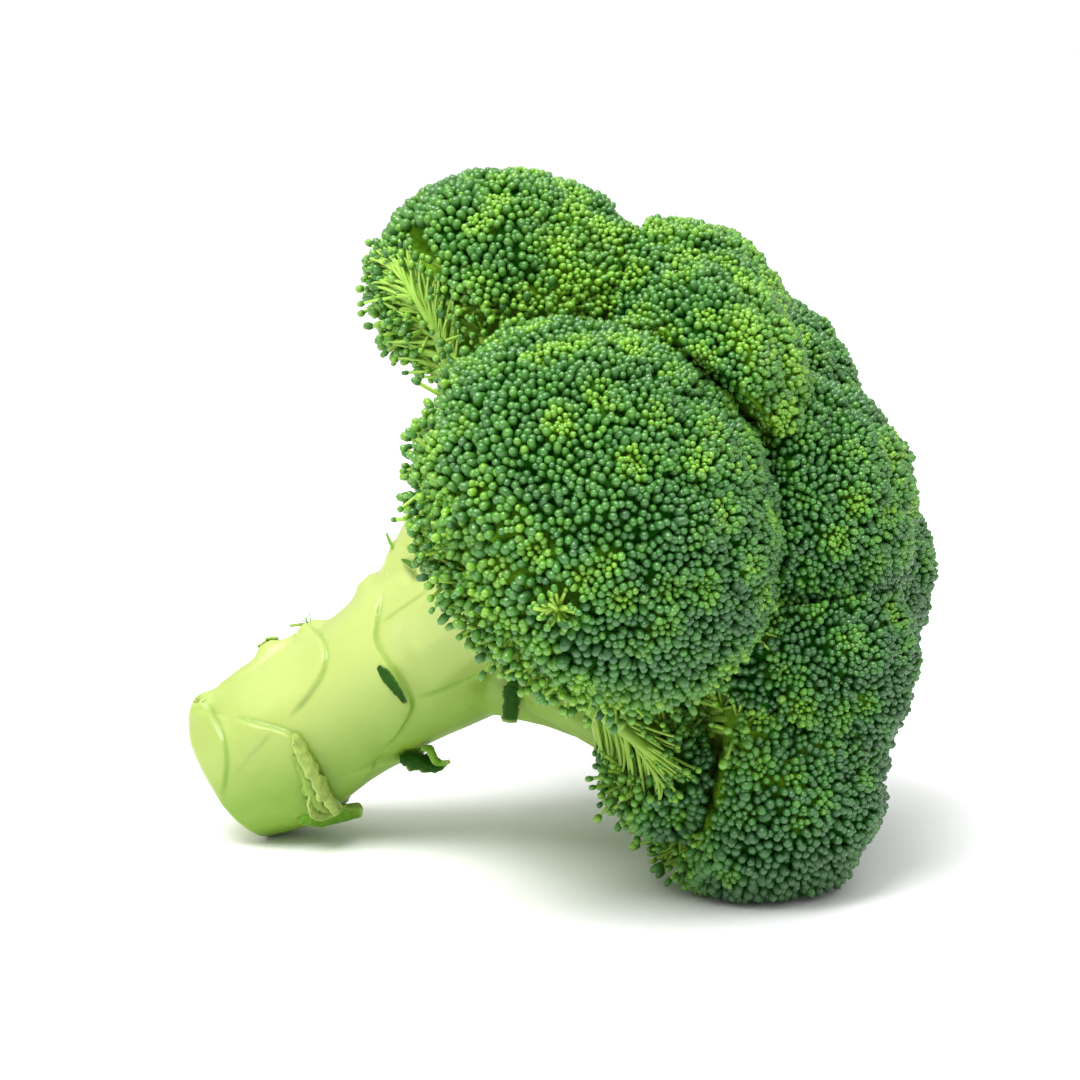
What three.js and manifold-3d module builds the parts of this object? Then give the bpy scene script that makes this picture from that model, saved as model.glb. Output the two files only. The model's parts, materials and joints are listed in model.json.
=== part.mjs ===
// A head of broccoli lying on its side: a pale stalk whose branches open into thirteen florets of flower buds,
// with slivers of the cut leaves left on it. Millimetres, +Z up.
// The plant is described as it grows, with +Z up the stalk from the middle of its cut end, and is then laid
// down on a floor at height 0.

import * as THREE from "three";
import { ConvexHull } from "three/addons/math/ConvexHull.js";
import { mergeVertices } from "three/addons/utils/BufferGeometryUtils.js";
import Module from "manifold-3d";

const wasm = await Module();
wasm.setup();

// How the head lies
const STALK_TILT = 34; // degrees that the stalk rises from the floor
const SETTLED = 0.6; // how far the cut rim is pressed flat by the floor
const ORIGIN = new THREE.Vector3(66.8, 1.1, 0); // middle of the head's footprint, from under the cut end

// The stalk
const CUT_RADIUS = 15;
const TRUNK = [ // height up the stalk, radius
  [0, 14.2], [1.6, CUT_RADIUS], [5, 15.8], [10, 16.8], [15, 16.9], [20, 16.2], [25, 15.6], [30, 15.4],
  [35, 15.6], [40, 16.2], [45, 16.8], [50, 17.6], [55, 18.4], [60, 18.2], [66, 15],
];
const TRUNK_TOP = 71;
const TRUNK_SIDES = 24;
const TRUNK_RINGS = 20;
const HUB_HEIGHT = 62; // where the branches to the florets have parted
const LEAF_BASES = [ // where a leaf grew: height, direction round the stalk and half width in degrees, step
  { height: 5, turn: -150, half: 45, step: 0.9 },
  { height: 14, turn: 95, half: 55, step: 1.2 },
  { height: 16, turn: -38, half: 50, step: 2.0 },
  { height: 27, turn: 55, half: 50, step: 1.3 },
  { height: 30, turn: 180, half: 78, step: 1.6 },
  { height: 37, turn: -8, half: 42, step: 1.6 },
  { height: 46, turn: -140, half: 62, step: 1.5 },
  { height: 46, turn: 95, half: 60, step: 1.3 },
  { height: 50, turn: -35, half: 60, step: 1.3 },
];
const STEP_WIDTH = 1.6; // of the rim above a leaf base
const BASE_FADE = 15; // how far down the stalk a leaf base thins out
const ARCH_DROP = 13; // how far its sides fall below its middle

// The florets: middle of each, its radii outwards, round the crown and up the crown, its depth below its middle
// as a share of the first of these, and the radius of its branch and the height where that leaves the stalk
const OUTER_FLORETS = [
  { name: "front_floret", centre: [-6, -40, 103], radii: [34, 38, 34], under: 0.5, branch: 11, fork: 38 },
  { name: "upper_floret", centre: [-50, -4, 106], radii: [24, 25, 28], under: 0.85, branch: 8, fork: 36 },
  { name: "lower_front_floret", centre: [51, -16, 95.5], radii: [27, 28, 25], under: 0.5, branch: 9, fork: 48 },
  { name: "lower_back_floret", centre: [47, 34, 92], radii: [29, 27, 26], under: 0.5, branch: 9, fork: 46 },
  { name: "back_floret", centre: [2, 49, 96], radii: [27, 28, 28], under: 0.5, branch: 9, fork: 38 },
  { name: "upper_back_floret", centre: [-38, 34, 103], radii: [26, 27, 24], under: 0.5, branch: 8, fork: 36 },
];
const INNER_FLORETS = [
  { name: "lower_small_floret", centre: [42, -26, 85.5], radii: [13, 14, 13], under: 0.8, branch: 5, fork: 50 },
  { name: "crown_upper_floret", centre: [-26, -2, 128], radii: [23, 24, 23], under: 0.5, branch: 7, fork: 48 },
  { name: "crown_front_floret", centre: [-16.5, -24, 134], radii: [19, 21, 18], under: 0.5, branch: 6, fork: 48 },
  { name: "crown_top_floret", centre: [12.5, -8, 124], radii: [31, 30, 27], under: 0.5, branch: 9, fork: 48 },
  { name: "crown_lower_floret", centre: [39, -14, 114], radii: [24, 25, 23], under: 0.5, branch: 7, fork: 48 },
  { name: "crown_lower_back_floret", centre: [30, 22, 120], radii: [25, 26, 24], under: 0.5, branch: 7, fork: 48 },
  { name: "crown_back_floret", centre: [-6, 28, 126], radii: [24, 25, 23], under: 0.5, branch: 7, fork: 48 },
];
const FLORETS = [...OUTER_FLORETS, ...INNER_FLORETS];
const BUD_PITCH = 7.6; // between the raised buds, several times life size
const BUD_HEIGHT = 2.4;
const BUD_TOP = 0.5; // size of a bud's flat top against its foot
const BUD_CORNERS = 3; // of that top
const CLUSTER_PITCH = 17; // the buds stand in clusters of about this size
const CLUSTER_GROOVE = 2.2;
const CLUSTER_GROOVE_WIDTH = 3;
const CONTACT_DEPTH = 3.6; // a floret pressed in deeper than this has no buds there
const HIDDEN_SHARE = 5; // one in so many points is kept where there are no buds
const BUD_REACH = -0.3; // cosine, from the floret's outward axis, where its buds end on the underside

// The branches to the florets, and the branchlets that fan out from those under the outer ones
const BRANCH_FLARE = 1.15; // size of a branch at its foot against its end
const BRANCH_ASIDE = 9; // how far from the middle of the stalk a branch bends away
const BRANCH_FOOT_ASIDE = 4; // and how far from it the branch starts, inside the stalk
const OUTER_BRANCH = { bend: 18, sides: 10, steps: 4 }; // bend: how far above its foot a branch bends
const INNER_BRANCH = { bend: 14, sides: 8, steps: 2 };
const BRANCHLETS = 4;
const BRANCHLET_SPREAD = 0.62; // how far out they enter, as a share of the floret's radii
const BRANCHLET_START = 9; // below the underside of the floret
const BRANCHLET_SIDES = 5;
const BRANCHLET_FOOT = 3.6;
const BRANCHLET_TIP = 2.2;
const ENTRY = 3; // how deep stems go into a floret

const CLEARANCE = 0.35; // between neighbouring pieces

// Slivers of leaf left on the stalk: height and direction of each foot, how far it is off the trunk's side,
// how steeply it rises from straight out towards the crown, its roll, and its length, width and thickness
const LEAF_SLIVERS = [
  { name: "leaf_sliver_base", height: 13, turn: -46, off: 1.5, lean: 35, roll: 25, size: [8, 9, 2.2] },
  { name: "leaf_sliver_tail", height: 21, turn: 188, off: 1.2, lean: 45, roll: -20, size: [6, 6, 1.6] },
  { name: "leaf_sliver_lower", height: 32, turn: -14, off: 1.5, lean: 40, roll: 20, size: [8, 8, 2] },
  { name: "leaf_sliver_front", height: 36, turn: -82, off: 1.2, lean: 60, roll: 15, size: [8, 6, 1.8] },
  { name: "leaf_sliver_neck", height: 60, turn: -38, off: 5.5, lean: -15, roll: 75, size: [11, 5, 2] },
];
const SLIVER_ROOT = 3; // how deep a sliver starts before it is cut to the stalk
const SLIVER_CURL = 0.02;

const PALE_GREEN = { color: 0xcfe08a, roughness: 0.45, metalness: 0 };
const BUD_GREEN = { color: 0x2f6b2c, roughness: 0.6, metalness: 0 };
const LEAF_GREEN = { color: 0x2a5a1e, roughness: 0.5, metalness: 0 };

const MERGE_DISTANCE = 1e-4;
const GOLDEN_ANGLE = Math.PI * (3 - Math.sqrt(5));
const radians = THREE.MathUtils.degToRad;
const vec = (...xyz) => new THREE.Vector3(...xyz);

// Height of the growing plant's points above the floor: +Z of the lying head, in the plant's own directions
const UP = vec(-Math.cos(radians(STALK_TILT)), 0, Math.sin(radians(STALK_TILT)));
const LIFT = CUT_RADIUS * Math.cos(radians(STALK_TILT)) - SETTLED;
const heightOf = (point) => point.dot(UP) + LIFT;

// Solids and meshes

function solidOf(geometry) {
  const bare = geometry.index ? geometry.toNonIndexed() : geometry.clone();
  bare.deleteAttribute("normal");
  bare.deleteAttribute("uv");
  const merged = mergeVertices(bare, MERGE_DISTANCE);
  return new wasm.Manifold(new wasm.Mesh({
    numProp: 3,
    vertProperties: merged.attributes.position.array,
    triVerts: new Uint32Array(merged.index.array),
  }));
}

function meshOf(name, solid, look) {
  const { vertProperties, triVerts } = solid.getMesh();
  const geometry = new THREE.BufferGeometry();
  geometry.setAttribute("position", new THREE.BufferAttribute(new Float32Array(vertProperties), 3));
  geometry.setIndex(new THREE.BufferAttribute(new Uint32Array(triVerts), 1));
  geometry.computeVertexNormals();
  const mesh = new THREE.Mesh(geometry, new THREE.MeshStandardMaterial({ ...look, flatShading: true }));
  mesh.name = name;
  return mesh;
}

function moveVertices(geometry, move) {
  const position = geometry.attributes.position;
  const point = new THREE.Vector3();
  for (let i = 0; i < position.count; i += 1) {
    point.fromBufferAttribute(position, i);
    move(point);
    position.setXYZ(i, point.x, point.y, point.z);
  }
  return geometry;
}

const joined = (solids) => solids.reduce((whole, solid) => whole.add(solid));
const largestOf = (solid) => solid.decompose().sort((a, b) => b.volume() - a.volume())[0];
const aboveFloor = (solid) => solid.trimByPlane(UP.toArray(), -LIFT);

// The stalk

// How far a leaf base lifts the stalk's skin: a rim along an arch, thinning out down the stalk below it
function leafBaseRelief(height, turn) {
  let relief = 0;
  for (const base of LEAF_BASES) {
    let away = turn - radians(base.turn);
    away -= 2 * Math.PI * Math.round(away / (2 * Math.PI));
    const across = away / radians(base.half);
    if (Math.abs(across) >= 1) continue;
    const below = base.height - ARCH_DROP * across * across - height;
    const rim = THREE.MathUtils.smoothstep(below, -STEP_WIDTH, 0) * (1 - across ** 4);
    relief = Math.max(relief, base.step * rim * Math.exp(-Math.max(below, 0) / BASE_FADE));
  }
  return relief;
}

// The trunk turned from its profile, with its faces moved out by extra, and lifted at the leaf bases
function trunk(extra) {
  const profile = TRUNK.map(([height, radius]) => new THREE.Vector2(radius + extra, height || -extra));
  const outline = new THREE.SplineCurve(profile).getPoints(TRUNK_RINGS);
  outline.unshift(new THREE.Vector2(0, -extra));
  outline.push(new THREE.Vector2(0, TRUNK_TOP + extra));
  const lathe = new THREE.LatheGeometry(outline, TRUNK_SIDES).rotateX(Math.PI / 2);
  return solidOf(moveVertices(lathe, (point) => {
    const radius = Math.hypot(point.x, point.y);
    if (radius < MERGE_DISTANCE) return;
    const grow = leafBaseRelief(point.z, Math.atan2(point.y, point.x)) / radius;
    point.x += point.x * grow;
    point.y += point.y * grow;
  }));
}

// A round limb along a curve, tapering from one radius to the other, with all its faces moved out by extra
function limb(path, [foot, tip], [sides, steps], extra) {
  const tube = new THREE.CylinderGeometry(1, 1, 1, sides, steps).rotateX(Math.PI / 2);
  const frames = path.computeFrenetFrames(steps);
  return solidOf(moveVertices(tube, (point) => {
    const step = Math.round((point.z + 0.5) * steps);
    const radius = THREE.MathUtils.lerp(foot, tip, step / steps) + extra;
    const middle = path.getPointAt(step / steps);
    if (step === steps) middle.addScaledVector(frames.tangents[step], extra);
    middle.addScaledVector(frames.normals[step], point.x * radius);
    middle.addScaledVector(frames.binormals[step], point.y * radius);
    point.copy(middle);
  }));
}

// The outward axis of a floret and the two directions across it: round the crown and up the crown
function axesOf(floret) {
  const out = vec(...floret.centre).sub(vec(0, 0, HUB_HEIGHT)).normalize();
  const round = vec(0, 0, 1).cross(out).normalize();
  return { out, round, along: out.clone().cross(round) };
}

function branch(floret, extra) {
  const { out } = axesOf(floret);
  const centre = vec(...floret.centre);
  const form = OUTER_FLORETS.includes(floret) ? OUTER_BRANCH : INNER_BRANCH;
  const foot = vec(out.x * BRANCH_FOOT_ASIDE, out.y * BRANCH_FOOT_ASIDE, floret.fork);
  const bend = vec(out.x * BRANCH_ASIDE, out.y * BRANCH_ASIDE, floret.fork + form.bend);
  const tip = centre.clone().addScaledVector(out, ENTRY - floret.radii[0] * floret.under);
  const path = new THREE.QuadraticBezierCurve3(foot, bend, tip);
  return limb(path, [floret.branch * BRANCH_FLARE, floret.branch], [form.sides, form.steps], extra);
}

// Branchlets that fan out from the end of a branch into the underside of its floret
function branchlets(floret, extra) {
  const { out, round, along } = axesOf(floret);
  const centre = vec(...floret.centre);
  const [outward, wide, high] = floret.radii;
  const foot = centre.clone().addScaledVector(out, -outward * floret.under - BRANCHLET_START);
  return Array.from({ length: BRANCHLETS }, (_, i) => {
    const turn = (i + 0.5) * 2 * Math.PI / BRANCHLETS;
    const depth = floret.under * Math.sqrt(1 - BRANCHLET_SPREAD ** 2);
    const tip = centre.clone()
      .addScaledVector(round, wide * BRANCHLET_SPREAD * Math.cos(turn))
      .addScaledVector(along, high * BRANCHLET_SPREAD * Math.sin(turn))
      .addScaledVector(out, ENTRY - outward * depth);
    const path = new THREE.LineCurve3(foot, tip);
    return limb(path, [BRANCHLET_FOOT, BRANCHLET_TIP], [BRANCHLET_SIDES, 1], extra);
  });
}

function stalk(extra = 0) {
  const limbs = FLORETS.map((floret) => branch(floret, extra));
  for (const floret of OUTER_FLORETS) limbs.push(...branchlets(floret, extra));
  return joined([trunk(extra), ...limbs]);
}

// The florets

// Points spread evenly over a ball, as seeds are on a flower head
function spreadPoints(count) {
  return Array.from({ length: count }, (_, i) => {
    const height = 1 - (2 * i + 1) / count;
    const width = Math.sqrt(1 - height * height);
    return vec(width * Math.cos(i * GOLDEN_ANGLE), width * Math.sin(i * GOLDEN_ANGLE), height);
  });
}

const countAt = (radius, pitch) => Math.round(4 * Math.PI * radius ** 2 / (0.866 * pitch ** 2));

// Distance from a floret's middle to its egg-shaped surface
function eggRadius(floret, axes, direction) {
  const [outward, wide, high] = floret.radii;
  const out = direction.dot(axes.out);
  const depth = out < 0 ? outward * floret.under : outward;
  return 1 / Math.hypot(out / depth, direction.dot(axes.round) / wide, direction.dot(axes.along) / high);
}

// The planes where a floret is pressed against its neighbours and the floor: outward normal and distance from
// its middle
function contactPlanes(floret) {
  const centre = vec(...floret.centre);
  const planes = [{ normal: UP.clone().negate(), distance: heightOf(centre) }];
  for (const other of FLORETS) {
    const normal = vec(...other.centre).sub(centre);
    const gap = normal.length();
    const reach = Math.max(...floret.radii) + Math.max(...other.radii) + BUD_HEIGHT;
    if (other === floret || gap > reach) continue;
    normal.normalize();
    const own = eggRadius(floret, axesOf(floret), normal);
    const theirs = eggRadius(other, axesOf(other), normal.clone().negate());
    planes.push({ normal, distance: (gap + (own ** 2 - theirs ** 2) / gap - CLEARANCE) / 2 });
  }
  return planes;
}

// Distance to the nearest plane along a direction
function reachWithin(planes, direction) {
  const reaches = planes.filter(({ normal }) => direction.dot(normal) > 0)
    .map(({ normal, distance }) => distance / direction.dot(normal));
  return Math.min(...reaches);
}

// How deep the surface dips between the clusters of buds along a direction
function grooveBetween(clusters, radius, direction) {
  const away = clusters.map((cluster) => cluster.angleTo(direction) * radius).sort((a, b) => a - b);
  return CLUSTER_GROOVE * Math.exp((away[0] - away[1]) / CLUSTER_GROOVE_WIDTH);
}

// The ring of low corners round each point: the middles of the triangles that join it to the points beside it
function ringsRound(points) {
  const wedges = new Map(points.map((point) => [point, []]));
  for (const face of new ConvexHull().setFromPoints(points).faces) {
    const corners = [0, 1, 2].map((i) => face.getEdge(i).head().point);
    const low = corners.reduce((sum, corner) => sum.add(corner), vec(0, 0, 0)).normalize();
    corners.forEach((corner, i) => {
      wedges.get(corner).push({ low, next: corners[(i + 1) % 3], last: corners[(i + 2) % 3] });
    });
  }
  for (const ring of wedges.values()) {
    for (let i = 1; i < ring.length; i += 1) {
      const following = ring.findIndex((wedge) => wedge.next === ring[i - 1].last);
      [ring[i], ring[following]] = [ring[following], ring[i]];
    }
  }
  return wedges;
}

// A closed surface round a floret's middle: each bud is a blunt raised cell that shares its low corners
function floretSolid(floret) {
  const centre = vec(...floret.centre);
  const axes = axesOf(floret);
  const planes = contactPlanes(floret);
  const meanRadius = Math.cbrt(floret.radii[0] * floret.radii[1] * floret.radii[2]);
  const clusters = spreadPoints(countAt(meanRadius, CLUSTER_PITCH));

  function surfacePoint(direction, raised) {
    const egg = eggRadius(floret, axes, direction) - grooveBetween(clusters, meanRadius, direction) + raised;
    return direction.clone().multiplyScalar(Math.min(egg, reachWithin(planes, direction))).add(centre);
  }

  function isOpen(direction) {
    const shallowest = eggRadius(floret, axes, direction) - CONTACT_DEPTH;
    return direction.dot(axes.out) > BUD_REACH && shallowest < reachWithin(planes, direction);
  }

  function plainCell(point, feet) {
    const middle = surfacePoint(point, -BUD_HEIGHT / 2);
    return feet.map((foot, i) => [middle, foot, feet[(i + 1) % feet.length]]);
  }

  function budCell(point, ring, feet) {
    const cornerOf = (i) => Math.floor(i * BUD_CORNERS / ring.length) % BUD_CORNERS;
    const tops = Array.from({ length: BUD_CORNERS }, (_, k) => {
      const facing = ring[Math.floor((k + 0.5) * ring.length / BUD_CORNERS)].low;
      return surfacePoint(point.clone().lerp(facing, BUD_TOP).normalize(), BUD_HEIGHT / 2);
    });
    const sides = feet.flatMap((foot, i) => {
      const next = (i + 1) % feet.length;
      const [top, nextTop] = [tops[cornerOf(i)], tops[cornerOf(next)]];
      const lower = [top, foot, feet[next]];
      return top === nextTop ? [lower] : [lower, [top, feet[next], nextTop]];
    });
    return [tops, ...sides];
  }

  const points = spreadPoints(countAt(meanRadius, BUD_PITCH))
    .filter((point, i) => isOpen(point) || i % HIDDEN_SHARE === 0);
  const triangles = [];
  for (const [point, ring] of ringsRound(points)) {
    const feet = ring.map(({ low }) => surfacePoint(low, -BUD_HEIGHT / 2));
    triangles.push(...(isOpen(point) ? budCell(point, ring, feet) : plainCell(point, feet)));
  }
  return solidOf(new THREE.BufferGeometry().setFromPoints(triangles.flat()));
}

// Slivers of leaf

function trunkRadius(height) {
  const next = TRUNK.findIndex(([level]) => level >= height);
  const [[low, lowRadius], [high, highRadius]] = [TRUNK[next - 1], TRUNK[next]];
  return THREE.MathUtils.mapLinear(height, low, high, lowRadius, highRadius);
}

// A torn blade with a slanting tip, curved a little along and across
function leafSliver({ height, turn, off, lean, roll, size: [length, width, thickness] }) {
  const outline = new THREE.Shape();
  outline.moveTo(-SLIVER_ROOT, -width * 0.35);
  outline.quadraticCurveTo(length * 0.5, -width * 0.6, length, -width * 0.2);
  outline.lineTo(length * 0.85, width * 0.15);
  outline.quadraticCurveTo(length * 0.45, width * 0.6, -SLIVER_ROOT, width * 0.4);
  const cut = { depth: thickness, bevelEnabled: false, curveSegments: 4 };
  const blade = new THREE.ExtrudeGeometry(outline, cut);
  blade.translate(0, 0, -thickness / 2);
  moveVertices(blade, (point) => { point.z += SLIVER_CURL * (point.x ** 2 - point.y ** 2); });
  const place = new THREE.Matrix4()
    .multiply(new THREE.Matrix4().makeTranslation(0, 0, height))
    .multiply(new THREE.Matrix4().makeRotationZ(radians(turn)))
    .multiply(new THREE.Matrix4().makeTranslation(trunkRadius(height) + off, 0, 0))
    .multiply(new THREE.Matrix4().makeRotationY(radians(-lean)))
    .multiply(new THREE.Matrix4().makeRotationX(radians(roll)));
  return solidOf(blade.applyMatrix4(place));
}

// The whole head

const sockets = stalk(CLEARANCE);

const plant = new THREE.Group();
plant.add(meshOf("stalk", aboveFloor(stalk()), PALE_GREEN));
for (const floret of FLORETS) {
  plant.add(meshOf(floret.name, largestOf(floretSolid(floret).subtract(sockets)), BUD_GREEN));
}
for (const sliver of LEAF_SLIVERS) {
  plant.add(meshOf(sliver.name, largestOf(leafSliver(sliver).subtract(sockets)), LEAF_GREEN));
}
plant.rotation.y = radians(90 - STALK_TILT);
plant.position.set(0, 0, LIFT).sub(ORIGIN);

const head = new THREE.Group();
head.add(plant);

export default head;
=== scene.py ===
"""A head of broccoli on its side: life-size flower buds, the stems that carry them, and the trimmed stalk.

Sizes in the classes are millimetres in the plant's own directions, with +Z up the stalk from the middle of
its cut end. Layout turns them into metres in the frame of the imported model.
"""

from __future__ import annotations

import json
import logging
import math
from dataclasses import dataclass
from enum import Enum

import bmesh
import bpy
import numpy as np
from mathutils import Matrix, Vector
from mathutils.kdtree import KDTree

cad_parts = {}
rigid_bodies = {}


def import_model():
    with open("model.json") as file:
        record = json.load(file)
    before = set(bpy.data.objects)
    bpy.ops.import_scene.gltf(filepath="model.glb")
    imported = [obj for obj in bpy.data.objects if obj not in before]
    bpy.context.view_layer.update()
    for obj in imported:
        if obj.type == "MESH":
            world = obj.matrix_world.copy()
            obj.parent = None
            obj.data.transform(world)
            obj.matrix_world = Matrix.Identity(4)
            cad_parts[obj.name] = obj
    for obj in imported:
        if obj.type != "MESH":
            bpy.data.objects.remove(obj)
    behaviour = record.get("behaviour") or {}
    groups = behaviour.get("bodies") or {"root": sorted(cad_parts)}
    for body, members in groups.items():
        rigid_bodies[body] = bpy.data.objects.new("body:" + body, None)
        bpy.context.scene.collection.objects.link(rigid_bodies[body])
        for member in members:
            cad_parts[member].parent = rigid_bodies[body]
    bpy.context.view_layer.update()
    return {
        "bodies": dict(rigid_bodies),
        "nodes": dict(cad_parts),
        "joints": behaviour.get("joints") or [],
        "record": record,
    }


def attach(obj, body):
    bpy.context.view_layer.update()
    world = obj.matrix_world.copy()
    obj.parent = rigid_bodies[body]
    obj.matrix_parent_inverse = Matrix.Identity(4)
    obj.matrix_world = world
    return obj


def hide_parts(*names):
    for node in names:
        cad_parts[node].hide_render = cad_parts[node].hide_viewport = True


LOG = logging.getLogger("broccoli")
MM = 0.001
GOLDEN_ANGLE = math.pi * (3 - math.sqrt(5))
HEXAGON_SHARE = 0.866


class Slot(Enum):
    """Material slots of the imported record."""

    STALK = "stalk"
    BUDS = "buds"
    LEAF = "leaf"


class BudAge(Enum):
    """The two shapes of bud, with their segments round and their length in widths."""

    GROWN = (8, 1.4)
    YOUNG = (6, 1.15)


# Where things are


@dataclass(frozen=True)
class Layout:
    """How the growing plant is laid on the floor."""

    tilt: float = math.radians(34)
    cut_radius: float = 15.0
    settled: float = 0.6
    origin: tuple[float, float, float] = (66.8, 1.1, 0.0)

    @property
    def lift(self) -> float:
        """Height of the middle of the cut end above the floor."""
        return self.cut_radius * math.cos(self.tilt) - self.settled

    @property
    def up(self) -> np.ndarray:
        """The floor's upward direction, in the plant's own directions."""
        return np.array([-math.cos(self.tilt), 0.0, math.sin(self.tilt)])

    def matrix(self) -> Matrix:
        """Returns the transform from plant millimetres to frame metres."""
        place = Matrix.Translation(Vector((0, 0, self.lift)) - Vector(self.origin))
        return Matrix.Scale(MM, 4) @ place @ Matrix.Rotation(math.pi / 2 - self.tilt, 4, "Y")

    def to_frame(self, points: np.ndarray) -> np.ndarray:
        """Turns plant points in millimetres into frame points in metres.

        Args:
            points: An n by 3 array.

        Returns:
            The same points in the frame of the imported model.
        """
        matrix = np.array(self.matrix())
        return points @ matrix[:3, :3].T + matrix[:3, 3]

    def to_plant(self, points: np.ndarray) -> np.ndarray:
        """Turns frame points in metres into plant points in millimetres.

        Args:
            points: An n by 3 array.

        Returns:
            The same points in the plant's own directions.
        """
        matrix = np.array(self.matrix().inverted())
        return points @ matrix[:3, :3].T + matrix[:3, 3]

    def heights(self, points: np.ndarray) -> np.ndarray:
        """Returns how high plant points are above the floor, in millimetres."""
        return points @ self.up + self.lift

    def kept_above(self, points: np.ndarray, least: float | np.ndarray) -> np.ndarray:
        """Returns plant points with those that are too low raised to a least height above the floor."""
        return points + np.maximum(least - self.heights(points), 0)[:, None] * self.up


@dataclass(frozen=True)
class Viewpoint:
    """The camera: its direction from the head, its distance, and where the cut end is in the picture."""

    azimuth: float = math.radians(11)
    elevation: float = math.radians(10)
    cut_distance: float = 0.62
    lens: float = 100.0
    sensor: float = 36.0
    frame_pixels: float = 1080.0
    cut_pixel: tuple[float, float] = (232.0, 775.0)

    def place(self, layout: Layout) -> None:
        """Makes the camera.

        Args:
            layout: How the plant lies.
        """
        sine, cosine = math.sin(self.azimuth), math.cos(self.azimuth)
        level, rise = math.cos(self.elevation), math.sin(self.elevation)
        back = Vector((sine * level, -cosine * level, rise))
        right = Vector((cosine, sine, 0.0))
        upward = back.cross(right)
        per_pixel = self.sensor / self.lens / self.frame_pixels
        across = (self.cut_pixel[0] - self.frame_pixels / 2) * per_pixel
        above = (self.frame_pixels / 2 - self.cut_pixel[1]) * per_pixel
        cut_end = layout.matrix() @ Vector((0, 0, 0))
        place = cut_end + self.cut_distance * (back - right * across - upward * above)
        data = bpy.data.cameras.new("camera")
        data.lens = self.lens
        data.sensor_width = self.sensor
        data.clip_start = 0.01
        camera = bpy.data.objects.new("camera", data)
        turn = Matrix((right, upward, back)).transposed().to_4x4()
        camera.matrix_world = Matrix.Translation(place) @ turn
        bpy.context.scene.collection.objects.link(camera)
        bpy.context.scene.camera = camera


@dataclass(frozen=True)
class Studio:
    """A white floor, soft light from above on the left, and pale surroundings.

    sky_shades are heights in the surroundings, from 0 at the horizon to 1 overhead, with their brightness.
    """

    floor_size: float = 30.0
    floor_white: float = 0.98
    floor_roughness: float = 0.6
    sky_strength: float = 1.66
    sky_shades: tuple[tuple[float, float], ...] = (
        (0.0, 0.63),
        (0.02, 0.63),
        (0.06, 0.24),
        (0.5, 0.36),
        (0.9, 1.0),
    )
    key_power: float = 12.5
    key_size: float = 0.6
    key_place: tuple[float, float, float] = (-0.2, -0.42, 1.0)
    fill_power: float = 0.3
    fill_size: float = 0.5
    fill_place: tuple[float, float, float] = (0.6, -0.7, 0.35)
    aim: tuple[float, float, float] = (0.0, 0.0, 0.06)

    def build(self) -> None:
        """Makes the floor, the lights and the surroundings."""
        bpy.context.scene.view_settings.view_transform = "Standard"
        self._floor()
        self._softbox("key_light", self.key_power, self.key_size, self.key_place)
        self._softbox("fill_light", self.fill_power, self.fill_size, self.fill_place)
        self._surroundings()

    def _surroundings(self) -> None:
        """Makes white surroundings that shade from the horizon to overhead."""
        world = bpy.data.worlds.new("white_room")
        world.use_nodes = True
        nodes, links = world.node_tree.nodes, world.node_tree.links
        background = nodes["Background"]
        background.inputs["Strength"].default_value = self.sky_strength
        parts = nodes.new("ShaderNodeSeparateXYZ")
        ramp = nodes.new("ShaderNodeValToRGB")
        elements = ramp.color_ramp.elements
        elements.remove(elements[1])
        elements[0].position, shade = self.sky_shades[0]
        elements[0].color = (shade, shade, shade, 1.0)
        for height, shade in self.sky_shades[1:]:
            elements.new(height).color = (shade, shade, shade, 1.0)
        links.new(nodes.new("ShaderNodeTexCoord").outputs["Generated"], parts.inputs["Vector"])
        links.new(parts.outputs["Z"], ramp.inputs["Fac"])
        links.new(ramp.outputs["Color"], background.inputs["Color"])
        bpy.context.scene.world = world

    def _floor(self) -> None:
        """Makes the plain floor."""
        bm = bmesh.new()
        bmesh.ops.create_grid(bm, x_segments=1, y_segments=1, size=self.floor_size / 2)
        floor = object_from_bmesh("floor", bm)
        finish = Finish("floor_white")
        finish.set_value("Base Color", (self.floor_white, self.floor_white, self.floor_white, 1.0))
        finish.set_value("Roughness", self.floor_roughness)
        finish.dress(floor)

    def _softbox(self, name: str, power: float, size: float, place: tuple[float, float, float]) -> None:
        """Makes one square area light aimed at the head.

        Args:
            name: The light's name.
            power: Its power in watts.
            size: Its side in metres.
            place: Where it is, in metres.
        """
        data = bpy.data.lights.new(name, "AREA")
        data.energy = power
        data.size = size
        light = bpy.data.objects.new(name, data)
        light.location = place
        away = Vector(place) - Vector(self.aim)
        light.rotation_euler = away.to_track_quat("Z", "Y").to_euler()
        bpy.context.scene.collection.objects.link(light)


# Making meshes


def object_from_mesh(name: str, mesh: bpy.types.Mesh) -> bpy.types.Object:
    """Links a mesh into the scene.

    Args:
        name: The object's name.
        mesh: Its mesh, in the frame's metres.

    Returns:
        The new object, at the origin.
    """
    made = bpy.data.objects.new(name, mesh)
    bpy.context.scene.collection.objects.link(made)
    return made


def object_from_bmesh(name: str, bm: bmesh.types.BMesh) -> bpy.types.Object:
    """Turns a bmesh into a linked, smoothly shaded object and frees it.

    Args:
        name: The object's name.
        bm: The bmesh.

    Returns:
        The new object, at the origin.
    """
    for face in bm.faces:
        face.smooth = True
    mesh = bpy.data.meshes.new(name)
    bm.to_mesh(mesh)
    bm.free()
    return object_from_mesh(name, mesh)


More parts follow.
